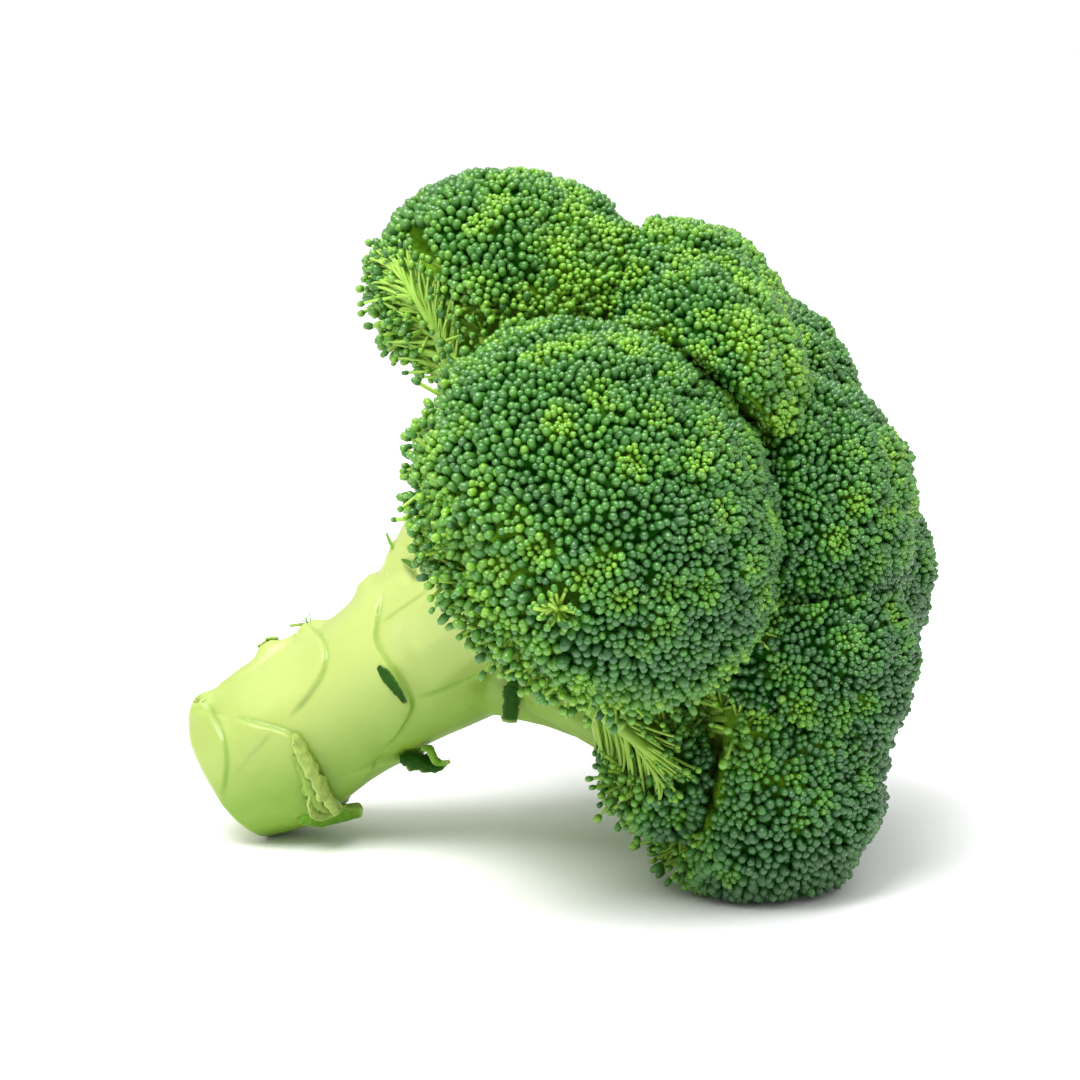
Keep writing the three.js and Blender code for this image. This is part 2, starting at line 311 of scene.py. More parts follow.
def baked(name: str, source: bpy.types.Object) -> bpy.types.Object:
    """Applies everything on an object and takes it away.

    Args:
        name: The new object's name.
        source: The object with its modifiers, or a curve.

    Returns:
        A plain mesh object.
    """
    depsgraph = bpy.context.evaluated_depsgraph_get()
    mesh = bpy.data.meshes.new_from_object(source.evaluated_get(depsgraph))
    mesh.name = name
    mesh.materials.clear()
    bpy.data.objects.remove(source)
    return object_from_mesh(name, mesh)


def thinned(piece: bpy.types.Object, share: float) -> bpy.types.Object:
    """Takes away some of a piece's faces, most where it is smoothest.

    Args:
        piece: The piece, which is used up.
        share: Share of its triangles that stay.

    Returns:
        The piece.
    """
    name = piece.name
    piece.name = f"{name}_fine"
    thin = piece.modifiers.new("thin", "DECIMATE")
    thin.ratio = share
    return baked(name, piece)


def read_points(mesh: bpy.types.Mesh) -> np.ndarray:
    """Reads where a mesh's vertices are.

    Args:
        mesh: The mesh.

    Returns:
        The places as an n by 3 array.
    """
    flat = np.empty(len(mesh.vertices) * 3)
    mesh.vertices.foreach_get("co", flat)
    return flat.reshape(-1, 3)


def write_points(mesh: bpy.types.Mesh, points: np.ndarray) -> None:
    """Sets a mesh's vertex places from an n by 3 array."""
    mesh.vertices.foreach_set("co", points.ravel())
    mesh.update()


def write_attribute(mesh: bpy.types.Mesh, name: str, values: np.ndarray) -> None:
    """Stores a number or a vector for each vertex.

    Args:
        mesh: The mesh.
        name: The attribute's name.
        values: One value, or three, for each vertex.
    """
    kind, key = ("FLOAT", "value") if values.ndim == 1 else ("FLOAT_VECTOR", "vector")
    attribute = mesh.attributes.new(name, kind, "POINT")
    attribute.data.foreach_set(key, values.astype(np.float32).ravel())


def unit(vectors: np.ndarray) -> np.ndarray:
    """Returns vectors scaled to length 1 along their last axis."""
    return vectors / np.linalg.norm(vectors, axis=-1, keepdims=True)


def smoothstep(low: float, high: float, value: np.ndarray) -> np.ndarray:
    """Returns a smooth rise from 0 at low to 1 at high, which may be the smaller."""
    share = np.clip((value - low) / (high - low), 0.0, 1.0)
    return share * share * (3 - 2 * share)


def spread_directions(count: int) -> np.ndarray:
    """Spreads directions evenly over a ball, as seeds are on a flower head.

    Args:
        count: How many.

    Returns:
        The unit vectors as rows.
    """
    index = np.arange(count)
    height = 1 - (2 * index + 1) / count
    width = np.sqrt(1 - height * height)
    turn = index * GOLDEN_ANGLE
    return np.stack([width * np.cos(turn), width * np.sin(turn), height], axis=1)


def between(points: np.ndarray, shares: np.ndarray) -> np.ndarray:
    """Returns the places at shares of the way along rows of points."""
    places = np.linspace(0, 1, len(points))
    return np.stack([np.interp(shares, places, part) for part in points.T], axis=1)


def count_on_ball(radius: float, pitch: float) -> int:
    """Returns how many points at a pitch cover a ball."""
    return round(4 * math.pi * radius**2 / (HEXAGON_SHARE * pitch**2))


# Finishes


class Finish:
    """A material made of nodes round one Principled BSDF."""

    def __init__(self, name: str) -> None:
        """Starts a material with its shader and output.

        Args:
            name: The material's name.
        """
        self.material = bpy.data.materials.new(name)
        self.material.use_nodes = True
        self.nodes = self.material.node_tree.nodes
        self.links = self.material.node_tree.links
        self.shader = self.nodes["Principled BSDF"]

    def set_value(self, socket: str, value: object) -> None:
        """Sets one of the shader's own sockets."""
        self.shader.inputs[socket].default_value = value

    def feed(self, output: bpy.types.NodeSocket, socket: str) -> None:
        """Links an output to one of the shader's sockets."""
        self.links.new(output, self.shader.inputs[socket])

    def attribute(self, name: str) -> bpy.types.NodeSocket:
        """Reads a vertex attribute.

        Args:
            name: The attribute's name.

        Returns:
            Its value as a number.
        """
        node = self.nodes.new("ShaderNodeAttribute")
        node.attribute_name = name
        return node.outputs["Fac"]

    def coordinates(self) -> bpy.types.NodeSocket:
        """Returns the object's own coordinates in metres."""
        return self.nodes.new("ShaderNodeTexCoord").outputs["Object"]

    def noise(self, scale: float, detail: float = 3.0) -> bpy.types.NodeSocket:
        """Returns a noise over the object.

        Args:
            scale: Lumps to the metre.
            detail: Finer layers in it.

        Returns:
            The noise, from 0 to 1.
        """
        node = self.nodes.new("ShaderNodeTexNoise")
        node.inputs["Scale"].default_value = scale
        node.inputs["Detail"].default_value = detail
        self.links.new(self.coordinates(), node.inputs["Vector"])
        return node.outputs["Fac"]

    def ramp(self, value: bpy.types.NodeSocket, stops: list[tuple[float, tuple]]) -> bpy.types.NodeSocket:
        """Returns a colour picked along a ramp.

        Args:
            value: Where along the ramp.
            stops: Places from 0 to 1 with their linear colours.

        Returns:
            The colour.
        """
        node = self.nodes.new("ShaderNodeValToRGB")
        elements = node.color_ramp.elements
        elements.remove(elements[1])
        elements[0].position = stops[0][0]
        elements[0].color = (*stops[0][1], 1.0)
        for place, colour in stops[1:]:
            elements.new(place).color = (*colour, 1.0)
        self.links.new(value, node.inputs["Fac"])
        return node.outputs["Color"]

    def span(self, value: bpy.types.NodeSocket, low: float, high: float, to: tuple) -> bpy.types.NodeSocket:
        """Returns a value moved from one range, clamped, to another.

        Args:
            value: The number to move.
            low: Where its range starts.
            high: Where it ends.
            to: The two ends of the new range.

        Returns:
            The moved number.
        """
        node = self.nodes.new("ShaderNodeMapRange")
        node.inputs["From Min"].default_value = low
        node.inputs["From Max"].default_value = high
        node.inputs["To Min"].default_value = to[0]
        node.inputs["To Max"].default_value = to[1]
        self.links.new(value, node.inputs["Value"])
        return node.outputs["Result"]

    def times(self, first: bpy.types.NodeSocket, second: bpy.types.NodeSocket) -> bpy.types.NodeSocket:
        """Multiplies two numbers.

        Args:
            first: The one.
            second: The other.

        Returns:
            Their product.
        """
        node = self.nodes.new("ShaderNodeMath")
        node.operation = "MULTIPLY"
        self.links.new(first, node.inputs[0])
        self.links.new(second, node.inputs[1])
        return node.outputs["Value"]

    def blend(
        self, share: bpy.types.NodeSocket, below: object, above: object, mode: str = "MIX"
    ) -> bpy.types.NodeSocket:
        """Returns two colours mixed by a share.

        Args:
            share: How much of the second colour.
            below: The first colour, as an output or a linear colour.
            above: The second colour, in the same way.
            mode: How the second goes over the first.

        Returns:
            The mixed colour.
        """
        node = self.nodes.new("ShaderNodeMix")
        node.data_type = "RGBA"
        node.blend_type = mode
        self.links.new(share, node.inputs["Factor"])
        for socket, colour in ((node.inputs["A"], below), (node.inputs["B"], above)):
            if isinstance(colour, bpy.types.NodeSocket):
                self.links.new(colour, socket)
            else:
                socket.default_value = (*colour, 1.0)
        return node.outputs["Result"]

    def bump(self, height: bpy.types.NodeSocket, depth: float, strength: float = 1.0) -> None:
        """Feeds a bump into the shader's normal.

        Args:
            height: The relief, from 0 to 1.
            depth: Its depth in metres.
            strength: How much of it shows.
        """
        node = self.nodes.new("ShaderNodeBump")
        node.inputs["Strength"].default_value = strength
        node.inputs["Distance"].default_value = depth
        self.links.new(height, node.inputs["Height"])
        self.feed(node.outputs["Normal"], "Normal")

    def vary(self, colour: bpy.types.NodeSocket, scale: float, amount: float) -> bpy.types.NodeSocket:
        """Returns a colour with the shared natural variation over it.

        Args:
            colour: The colour.
            scale: Lumps to the metre.
            amount: How strong the variation is.

        Returns:
            The varied colour.
        """
        node = self.nodes.new("ShaderNodeGroup")
        node.node_tree = variation_group()
        node.inputs["Scale"].default_value = scale
        node.inputs["Amount"].default_value = amount
        self.links.new(colour, node.inputs["Colour"])
        return node.outputs["Colour"]

    def dress(self, piece: bpy.types.Object) -> None:
        """Puts the material on a piece."""
        piece.data.materials.clear()
        piece.data.materials.append(self.material)


def variation_group() -> bpy.types.ShaderNodeTree:
    """Makes the shared node group that turns a colour lighter and darker in soft patches.

    Returns:
        The group, the same one each time.
    """
    name = "grown_variation"
    if name in bpy.data.node_groups:
        return bpy.data.node_groups[name]
    group = bpy.data.node_groups.new(name, "ShaderNodeTree")
    group.interface.new_socket("Colour", in_out="INPUT", socket_type="NodeSocketColor")
    group.interface.new_socket("Scale", in_out="INPUT", socket_type="NodeSocketFloat")
    group.interface.new_socket("Amount", in_out="INPUT", socket_type="NodeSocketFloat")
    group.interface.new_socket("Colour", in_out="OUTPUT", socket_type="NodeSocketColor")
    nodes, links = group.nodes, group.links
    source = nodes.new("NodeGroupInput")
    sink = nodes.new("NodeGroupOutput")
    place = nodes.new("ShaderNodeTexCoord")
    patches = nodes.new("ShaderNodeTexNoise")
    patches.inputs["Detail"].default_value = 4.0
    centred = nodes.new("ShaderNodeMath")
    centred.operation = "SUBTRACT"
    centred.inputs[1].default_value = 0.5
    scaled = nodes.new("ShaderNodeMath")
    scaled.operation = "MULTIPLY_ADD"
    scaled.inputs[2].default_value = 1.0
    tint = nodes.new("ShaderNodeHueSaturation")
    links.new(place.outputs["Object"], patches.inputs["Vector"])
    links.new(source.outputs["Scale"], patches.inputs["Scale"])
    links.new(patches.outputs["Fac"], centred.inputs[0])
    links.new(centred.outputs["Value"], scaled.inputs[0])
    links.new(source.outputs["Amount"], scaled.inputs[1])
    links.new(scaled.outputs["Value"], tint.inputs["Value"])
    links.new(source.outputs["Colour"], tint.inputs["Color"])
    links.new(tint.outputs["Color"], sink.inputs["Colour"])
    return group


@dataclass(frozen=True)
class BudFinish:
    """Waxy flower buds: yellow-green while young, deep bluish green when grown, with painted shade towards
    their foot.

    bloom_and_highlight is the pale wax on their tips, partly a painted highlight, and
    most_bloom_and_highlight how much of it shows.
    """

    youngest: tuple[float, float, float] = (0.18, 0.41, 0.012)
    young: tuple[float, float, float] = (0.075, 0.25, 0.009)
    grown: tuple[float, float, float] = (0.033, 0.165, 0.010)
    oldest: tuple[float, float, float] = (0.015, 0.098, 0.013)
    bloom_and_highlight: tuple[float, float, float] = (0.13, 0.32, 0.11)
    # foot is painted shade low on each bud, where the buds crowd together; most_foot_shade is how strong it
    # is.
    foot: tuple[float, float, float] = (0.010, 0.105, 0.003)
    most_bloom_and_highlight: float = 0.38
    most_foot_shade: float = 0.8
    shine: float = 0.72
    smooth_tip: float = 0.26
    rough_foot: float = 0.75

    def make(self) -> Finish:
        """Makes the material.

        Returns:
            The finish.
        """
        finish = Finish("flower_bud")
        stops = [(0.0, self.youngest), (0.35, self.young), (0.7, self.grown), (1.0, self.oldest)]
        colour = finish.ramp(finish.attribute("tint"), stops)
        colour = finish.vary(colour, 160.0, 0.9)
        rise = finish.attribute("rise")
        # Pale wax bloom on the tips, partly a painted highlight.
        wax_and_highlight = finish.times(finish.noise(500.0), finish.span(rise, 0.7, 1.0, (0.0, self.most_bloom_and_highlight)))
        colour = finish.blend(wax_and_highlight, colour, self.bloom_and_highlight)
        # Painted shade towards each bud's foot.
        shade = finish.span(rise, 0.2, 0.6, (self.most_foot_shade, 0.0))
        colour = finish.blend(shade, colour, self.foot)
        finish.feed(colour, "Base Color")
        finish.feed(finish.span(rise, 0.4, 0.75, (self.rough_foot, self.smooth_tip)), "Roughness")
        finish.set_value("Specular IOR Level", self.shine)
        finish.bump(finish.noise(2500.0), 0.00008)
        return finish


@dataclass(frozen=True)
class CoreFinish:
    """The depths between the buds: deep green as painted shade, yellow-green where the flower stalks show."""

    # deep is painted shade in the gaps between the buds.
    deep: tuple[float, float, float] = (0.008, 0.09, 0.003)
    fresh: tuple[float, float, float] = (0.15, 0.34, 0.012)
    under: tuple[float, float, float] = (0.20, 0.38, 0.03)

    def make(self) -> Finish:
        """Makes the material.

        Returns:
            The finish.
        """
        finish = Finish("floret_depths")
        colour = finish.blend(finish.attribute("tint"), self.fresh, self.deep)
        colour = finish.blend(finish.attribute("under"), colour, self.under)
        finish.feed(finish.vary(colour, 300.0, 1.2), "Base Color")
        finish.set_value("Roughness", 0.8)
        finish.set_value("Specular IOR Level", 0.05)
        finish.bump(finish.noise(900.0), 0.0006)
        return finish


@dataclass(frozen=True)
class StemFinish:
    """Thin stems under the florets: pale at the branch, greener towards the buds."""

    pale: tuple[float, float, float] = (0.50, 0.63, 0.19)
    green: tuple[float, float, float] = (0.33, 0.56, 0.07)

    def make(self) -> Finish:
        """Makes the material.

        Returns:
            The finish.
        """
        finish = Finish("flower_stem")
        colour = finish.blend(finish.attribute("along"), self.pale, self.green)
        finish.feed(finish.vary(colour, 200.0, 0.5), "Base Color")
        finish.set_value("Roughness", 0.42)
        return finish


@dataclass(frozen=True)
class StalkFinish:
    """The peeling-smooth skin of the stalk, with a drier cut end and a darker green painted as shade on its
    underside.
    """

    skin: tuple[float, float, float] = (0.42, 0.51, 0.14)
    # green is a darker green, mostly painted shade on the side facing the floor, which also marks the skin's
    # edges and the stalk near its cut end.
    green: tuple[float, float, float] = (0.19, 0.34, 0.02)
    cut: tuple[float, float, float] = (0.46, 0.54, 0.24)
    ring: tuple[float, float, float] = (0.33, 0.45, 0.12)

    def make(self) -> Finish:
        """Makes the material.

        Returns:
            The finish.
        """
        finish = Finish("stalk_skin")
        colour = finish.blend(finish.attribute("green"), self.skin, self.green)
        colour = finish.blend(finish.attribute("cut"), colour, self.cut)
        colour = finish.blend(finish.attribute("ring"), colour, self.ring)
        finish.feed(finish.vary(colour, 60.0, 0.25), "Base Color")
        finish.set_value("Roughness", 0.38)
        finish.set_value("Subsurface Weight", 0.25)
        finish.set_value("Subsurface Radius", (1.0, 0.9, 0.3))
        finish.set_value("Subsurface Scale", 0.003)
        finish.bump(finish.noise(500.0), 0.0002, 0.5)
        return finish


@dataclass(frozen=True)
class LeafFinish:
    """Torn leaf tissue: dark green blades, green flesh and dry brownish fibres, with pale edges."""

    blade: tuple[float, float, float] = (0.014, 0.072, 0.002)
    flesh: tuple[float, float, float] = (0.15, 0.33, 0.025)
    dry: tuple[float, float, float] = (0.32, 0.40, 0.10)
    pale: tuple[float, float, float] = (0.42, 0.56, 0.16)

    def make(self) -> Finish:
        """Makes the material.

        Returns:
            The finish.
        """
        finish = Finish("leaf_tissue")
        stops = [(0.0, self.blade), (0.5, self.flesh), (1.0, self.dry)]
        colour = finish.ramp(finish.attribute("tone"), stops)
        colour = finish.vary(colour, 700.0, 1.1)
        colour = finish.blend(finish.attribute("edge"), colour, self.pale)
        finish.feed(colour, "Base Color")
        finish.set_value("Roughness", 0.5)
        finish.set_value("Specular IOR Level", 0.12)
        finish.bump(finish.noise(1200.0), 0.0003)
        return finish


# Florets


@dataclass(frozen=True)
class Opening:
    """A gap in the buds, along one or more directions from the floret's middle."""

    ways: tuple[tuple[float, float, float], ...]
    radius: float
    depth: float

    samples = 12

    def away(self, directions: np.ndarray, size: float) -> np.ndarray:
        """Measures how far directions are from the gap's line.

        Args:
            directions: The directions as rows.
            size: Radius of the ball to measure on.

        Returns:
            The distances in millimetres.
        """
        line = unit(between(unit(np.array(self.ways)), np.linspace(0, 1, self.samples)))
        nearness = (directions @ line.T).max(axis=1)
        return np.arccos(np.clip(nearness, -1, 1)) * size

    def depths(self, directions: np.ndarray, size: float) -> np.ndarray:
        """Returns how deep the gap is along directions, on a ball of a radius."""
        return self.depth * smoothstep(self.radius + 0.5, self.radius * 0.6, self.away(directions, size))


@dataclass(frozen=True)
class Spray:
    """A small branch that shows in a gap, with its flower stalks.

    stem holds points along the branch, and ends points along the line that the stalks reach. They leave the
    branch in tufts.
    """

    stem: tuple[tuple[float, float, float], ...]
    ends: tuple[tuple[float, float, float], ...]
    count: int
    thick: float
    thread: float = 0.4
    tufts: int = 8
    scatter: float = 0.9
    bend: float = 0.2

    stem_steps = 8
    stalk_steps = 6

    def lay(self, draws: np.random.Generator) -> tuple[list[np.ndarray], list[np.ndarray], BudSites]:
        """Lays the branch, its flower stalks and their buds.

        Args:
            draws: Source of random draws.

        Returns:
            Paths and their radii in millimetres, and the buds.
        """
        stem, rim = np.array(self.stem), np.array(self.ends)
        paths = [between(stem, np.linspace(0, 1, self.stem_steps + 1))]
        radii = [np.linspace(self.thick, self.thick * 0.4, self.stem_steps + 1)]
        turn = draws.random(self.count)
        near_tip = 1 - np.abs(2 * turn - 1)
        start = 0.1 + 0.9 * near_tip - draws.uniform(0, 0.3, self.count)
        start = np.clip(np.round(start * self.tufts) / self.tufts, 0.02, 0.98)
        feet = between(stem, start)
        onward = unit(between(stem, start + 0.02) - between(stem, start - 0.02))
        ends = between(rim, turn) + draws.normal(0, self.scatter, (self.count, 3))
        ends = feet + (ends - feet) * draws.uniform(0.6, 1.05, self.count)[:, None]
        lengths = np.linalg.norm(ends - feet, axis=1, keepdims=True)
        bends = (feet + ends) / 2 + onward * lengths * self.bend
        bends += draws.normal(0, self.scatter, (self.count, 3))
        for foot, bend, end in zip(feet, bends, ends):
            paths.append(curved_path(foot, bend, end, self.stalk_steps))
            radii.append(np.linspace(1.3, 0.75, self.stalk_steps + 1) * self.thread)
        tints = np.clip(draws.normal(0.3, 0.25, self.count), 0, 1)
        spans = draws.uniform(0.8, 1.5, self.count)
        return paths, radii, BudSites(ends, unit(ends - bends), spans, tints)


@dataclass(frozen=True)
class Floret:
    """One floret: its middle, and its radii outwards, round the crown and up it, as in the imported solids.

    under is its depth below its middle as a share of the first radius. An outer one shows its stems from the
    cosine close_to its outward axis on, and through openings. fill is how far it swells where it meets its
    neighbours.
    """

    name: str
    centre: tuple[float, float, float]
    radii: tuple[float, float, float]
    under: float = 0.5
    outer: bool = False
    close_to: float = 0.1
    fill: float = 2.4
    openings: tuple[Opening, ...] = ()
    sprays: tuple[Spray, ...] = ()

    hub_height = 62.0

    @property
    def middle(self) -> np.ndarray:
        """The centre as an array."""
        return np.array(self.centre)

    def axes(self) -> np.ndarray:
        """Works out the floret's own axes.

        Returns:
            The outward one and the two across it, round the crown and up it, as rows.
        """
        out = unit(self.middle - np.array([0.0, 0.0, self.hub_height]))
        round_crown = unit(np.cross([0.0, 0.0, 1.0], out))
        return np.stack([out, round_crown, np.cross(out, round_crown)])

    def mean_radius(self) -> float:
        """Returns the radius of a ball of the same size."""
        return float(np.cbrt(np.prod(self.radii)))

    def _scaled(self, directions: np.ndarray) -> tuple[np.ndarray, np.ndarray]:
        """Splits directions along the floret's axes.

        Args:
            directions: The directions as rows.

        Returns:
            Their parts along the axes, and the egg's radius for each part.
        """
        parts = directions @ self.axes().T
        radii = np.tile(np.array(self.radii, float), (len(parts), 1))
        radii[parts[:, 0] < 0, 0] *= self.under
        return parts, radii

    def egg_radius(self, directions: np.ndarray) -> np.ndarray:
        """Returns the distance from the middle to the egg-shaped surface along each direction."""
        parts, radii = self._scaled(directions)
        return 1 / np.linalg.norm(parts / radii, axis=1)

    def normals(self, directions: np.ndarray) -> np.ndarray:
        """Returns the egg's outward normals along each direction."""
        parts, radii = self._scaled(directions)
        return unit((parts / radii**2) @ self.axes())


FRONT_GAP = Opening(((0.23, -0.96, -0.15),), radius=4.4, depth=2.6)
FRONT_SPRAY = Spray(
    stem=((2.5, -69.0, 97.0), (2.3, -73.2, 97.3)),
    ends=(
        (6.8, -74.5, 97.5),
        (4.5, -75.5, 101.2),
        (0.2, -75.5, 101.2),
        (-2.0, -74.5, 97.5),
        (0.2, -75.0, 93.8),
        (4.5, -75.0, 93.8),
        (6.8, -74.5, 97.5),
    ),
    count=30,
    thick=1.3,
    tufts=2,
)
UPPER_GAP = Opening(
    ((0.3, -0.8, -0.5), (-0.05, -0.9, -0.43), (-0.35, -0.86, -0.36), (-0.72, -0.6, -0.34)),
    radius=5.2,
    depth=5.0,
)
UPPER_SPRAY = Spray(
    stem=((-42.6, -18.0, 90.3), (-51.4, -22.5, 94.2), (-60.0, -22.5, 94.5), (-67.0, -19.5, 94.4)),
    ends=(
        (-48.4, -20.0, 85.3),
        (-58.3, -19.0, 84.7),
        (-66.3, -17.0, 86.2),
        (-72.2, -15.0, 91.2),
        (-69.4, -23.0, 99.0),
        (-60.0, -27.0, 101.0),
        (-50.0, -28.0, 101.0),
    ),
    count=140,
    thick=2.1,
    thread=0.34,
)
SMALL_GAP = Opening(
    ((-0.8, -0.2, -0.55), (-0.85, -0.5, -0.1), (-0.5, -0.86, -0.05), (-0.1, -0.98, 0.15)),
    radius=6.0,
    depth=4.5,
)
SMALL_SPRAY = Spray(
    stem=((23.0, -24.0, 78.6), (28.3, -30.0, 82.6), (34.5, -35.0, 86.0), (38.5, -37.5, 87.8)),
    ends=(
        (35.5, -29.0, 75.0),
        (41.0, -34.0, 77.5),
        (45.3, -37.5, 81.3),
        (46.0, -40.0, 87.5),
        (43.9, -41.0, 92.6),
        (37.5, -40.0, 95.5),
    ),
    count=110,
    thick=2.2,
    thread=0.36,
)
FLORETS = (
    Floret(
        "front_floret",
        (-6, -40, 103),
        (34, 38, 34),
        outer=True,
        fill=0.4,
        openings=(FRONT_GAP,),
        sprays=(FRONT_SPRAY,),
    ),
    Floret(
        "upper_floret",
        (-50, -4, 106),
        (24, 25, 28),
        under=0.85,
        outer=True,
        openings=(UPPER_GAP,),
        sprays=(UPPER_SPRAY,),
    ),
    Floret("lower_front_floret", (51, -16, 95.5), (28.5, 28, 25), outer=True),
    Floret(
        "lower_small_floret",
        (42, -26, 85.5),
        (13, 14, 13),
        under=0.8,
        outer=True,
        close_to=0.3,
        openings=(SMALL_GAP,),
        sprays=(SMALL_SPRAY,),
    ),
    Floret("lower_back_floret", (47, 34, 92), (29, 27, 26), outer=True),
    Floret("back_floret", (2, 49, 96), (27, 28, 28), outer=True),
    Floret("upper_back_floret", (-38, 34, 103), (26, 27, 24), outer=True),
    Floret("crown_upper_floret", (-26, -2, 128), (23, 24, 23)),
    Floret("crown_front_floret", (-16.5, -24, 134), (19, 21, 18)),
    Floret("crown_top_floret", (12.5, -8, 124), (31, 30, 27)),
    Floret("crown_lower_floret", (39, -14, 114), (24, 25, 23)),
    Floret("crown_lower_back_floret", (30, 22, 120), (25, 26, 24)),
    Floret("crown_back_floret", (-6, 28, 126), (24, 25, 23)),
)


@dataclass
class Surface:
    """A floret's outer surface where it meets its neighbours and the floor."""

    floret: Floret
    layout: Layout
    skin: float = 0.9
    contact_gap: float = 0.8
    floor_gap: float = 1.4
    rounding: float = 2.0
    fill_width: float = 4.0
    far: float = 1000.0

    def planes(self) -> list[tuple[np.ndarray, float]]:
        """Works out the planes between the floret and its neighbours, and the one at the floor.

        Returns:
            Each plane's normal and its distance from the floret's middle.
        """
        middle = self.floret.middle
        height = float(self.layout.heights(middle))
        found = [(-self.layout.up, height - self.floor_gap)]
        for other in FLORETS:
            if other is self.floret:
                continue
            apart = other.middle - middle
            gap = float(np.linalg.norm(apart))
            normal = apart / gap
            own = float(self.floret.egg_radius(normal[None])[0])
            theirs = float(other.egg_radius(-normal[None])[0])
            found.append((normal, (gap + (own**2 - theirs**2) / gap - self.contact_gap) / 2))
        return found

    def reach(self, directions: np.ndarray) -> np.ndarray:
        """Measures the free way to the nearest bounding plane.

        Args:
            directions: The directions as rows.

        Returns:
            The distance along each.
        """
        nearest = np.full(len(directions), self.far)
        for normal, distance in self.planes():
            towards = directions @ normal
            hit = distance / np.maximum(towards, 1e-6)
            nearest = np.where(towards > 0, np.minimum(nearest, hit), nearest)
        return nearest

    def radius(self, directions: np.ndarray) -> np.ndarray:
        """Measures how far out the middles of the buds are, rounded where florets meet.

        Args:
            directions: The directions as rows.

        Returns:
            The distance along each.
        """
        egg = self.floret.egg_radius(directions) - self.skin
        reach = self.reach(directions)
        egg += self.floret.fill * np.exp(-np.abs(reach - egg) / self.fill_width)
        share = np.clip(0.5 + 0.5 * (reach - egg) / self.rounding, 0, 1)
        return reach * (1 - share) + egg * share - self.rounding * share * (1 - share)


@dataclass(frozen=True)
class BudPattern:
    """How the buds of a floret stand.

    They stand in clusters, youngest in the middle of each and largest at the crown's rim. The clusters are
    domes with a dimple of young buds, parted by grooves, on a surface with broad swells and hollows.
    """

    cluster_pitch: float = 9.0
    cluster_reach: float = 0.6
    cluster_jitter: float = 0.22
    dome: float = 1.2
    dimple: float = 0.9
    dimple_width: float = 0.35
    groove_pitch: float = 19.0
    groove: float = 1.7
    groove_width: float = 3.0
    swells: int = 16
    swell: float = 0.9
    swell_width: float = 0.3
    crown_span: float = 1.4
    rim_span: float = 2.2
    youth_span: float = 0.6
    rim: float = 0.3
    inner_edge: float = -0.2
    edge_scatter: float = 0.05
    crevice_depth: float = 6.0
    surplus: float = 0.75
    crowding: float = 0.72
    span_scatter: float = 0.1
    lift_scatter: float = 0.22
    splay: float = 0.5
    lean_scatter: float = 0.2

    def spans(self, share: np.ndarray, youth: np.ndarray, age: np.ndarray) -> np.ndarray:
        """Returns bud widths.

        Args:
            share: Distance from the cluster's middle, 1 at its edge.
            youth: How young the cluster's middle is, from 0 to 1.
            age: 0 at the top of the crown, 1 at its rim.

        Returns:
            The widths in millimetres.
        """
        full = self.crown_span + (self.rim_span - self.crown_span) * age
        least = 1 - (1 - self.youth_span) * youth
        return full * (least + (1 - least) * smoothstep(0.05, 0.8, share))


@dataclass(frozen=True)
class BudTints:
    """How old the buds look, from 0 for the youngest to 1 for the oldest, with painted light near the top and
    painted shade near the floor.
    """

    youth: float = 0.95
    scatter: float = 0.16
    hollow: float = 0.3
    base: float = 0.12
    # low is painted shade on buds near the floor, and high painted light on those near the top.
    low: float = 0.2
    high: float = 0.44
    rim: float = 0.6
    young_below: float = 0.35

    def at(
        self, fresh: np.ndarray, noise: np.ndarray, hollows: np.ndarray, heights: np.ndarray
    ) -> np.ndarray:
        """Returns the tints of buds.

        Args:
            fresh: How near each bud is to a young cluster's middle, from 0 to 1.
            noise: Its random share.
            hollows: How far it is in a broad hollow, from 0 to 1.
            heights: Its height above the floor in millimetres.

        Returns:
            The tints, which are fresher in hollows, lighter near the top as painted light, and darker near
            the floor as painted shade.
        """
        tints = np.clip(1.0 - self.youth * fresh + noise, 0, 1) - self.hollow * hollows
        # Painted shade near the floor and painted light near the top.
        tints += self.base + self.low * smoothstep(70, 20, heights) - self.high * smoothstep(35, 130, heights)
        return np.clip(tints, 0, 1)


@dataclass(frozen=True)
class FanPattern:
    """Small fans of flower stalks, each with a bud, that show under a floret and at its rim."""

    pitch: float = 5.6
    jitter: float = 0.05
    overlap: float = 0.18
    lowest: float = -0.62
    room: float = 3.0
    length: float = 6.0
    sunk: float = 0.8
    longer: float = 1.5
    longer_share: float = 0.07
    spread: float = math.radians(56)
    count: int = 9
    crowding: float = 0.6
    least_span: float = 1.0
    most_span: float = 1.8
    tint: float = 0.27
    clearance: float = 2.1
    thread: float = 0.38
    stem_foot: float = 1.8
    stem_tip: float = 0.7
    stem_steps: int = 5
    bundles: int = 70
    bundle_reach: float = 0.6


@dataclass
class BudSites:
    """Where buds are, in plant millimetres, with their axes, widths and colours."""

    places: np.ndarray
    axes: np.ndarray
    spans: np.ndarray
    tints: np.ndarray

    def picked(self, mask: np.ndarray) -> BudSites:
        """Returns the buds that a mask picks."""
        return BudSites(*(part[mask] for part in vars(self).values()))

    def joined(self, other: BudSites) -> BudSites:
        """Returns these buds and others together."""
        pairs = zip(vars(self).values(), vars(other).values())
        return BudSites(*(np.concatenate(pair) for pair in pairs))

    def apart(self, crowding: float) -> np.ndarray:
        """Picks buds, widest first, that don't stand in one another.

        Args:
            crowding: The least distance between two, as a share of their mean width.

        Returns:
            A mask of those that are kept.
        """
        tree = KDTree(len(self.places))
        for index, place in enumerate(self.places):
            tree.insert(place, index)
        tree.balance()
        widest = float(self.spans.max())
        kept = np.zeros(len(self.spans), bool)
        for index in np.argsort(-self.spans, kind="stable"):
            span = self.spans[index]
            near = tree.find_range(self.places[index], crowding * (span + widest) / 2)
            kept[index] = not any(
                kept[other] and gap < crowding * (span + self.spans[other]) / 2 for _, other, gap in near
            )
        return kept


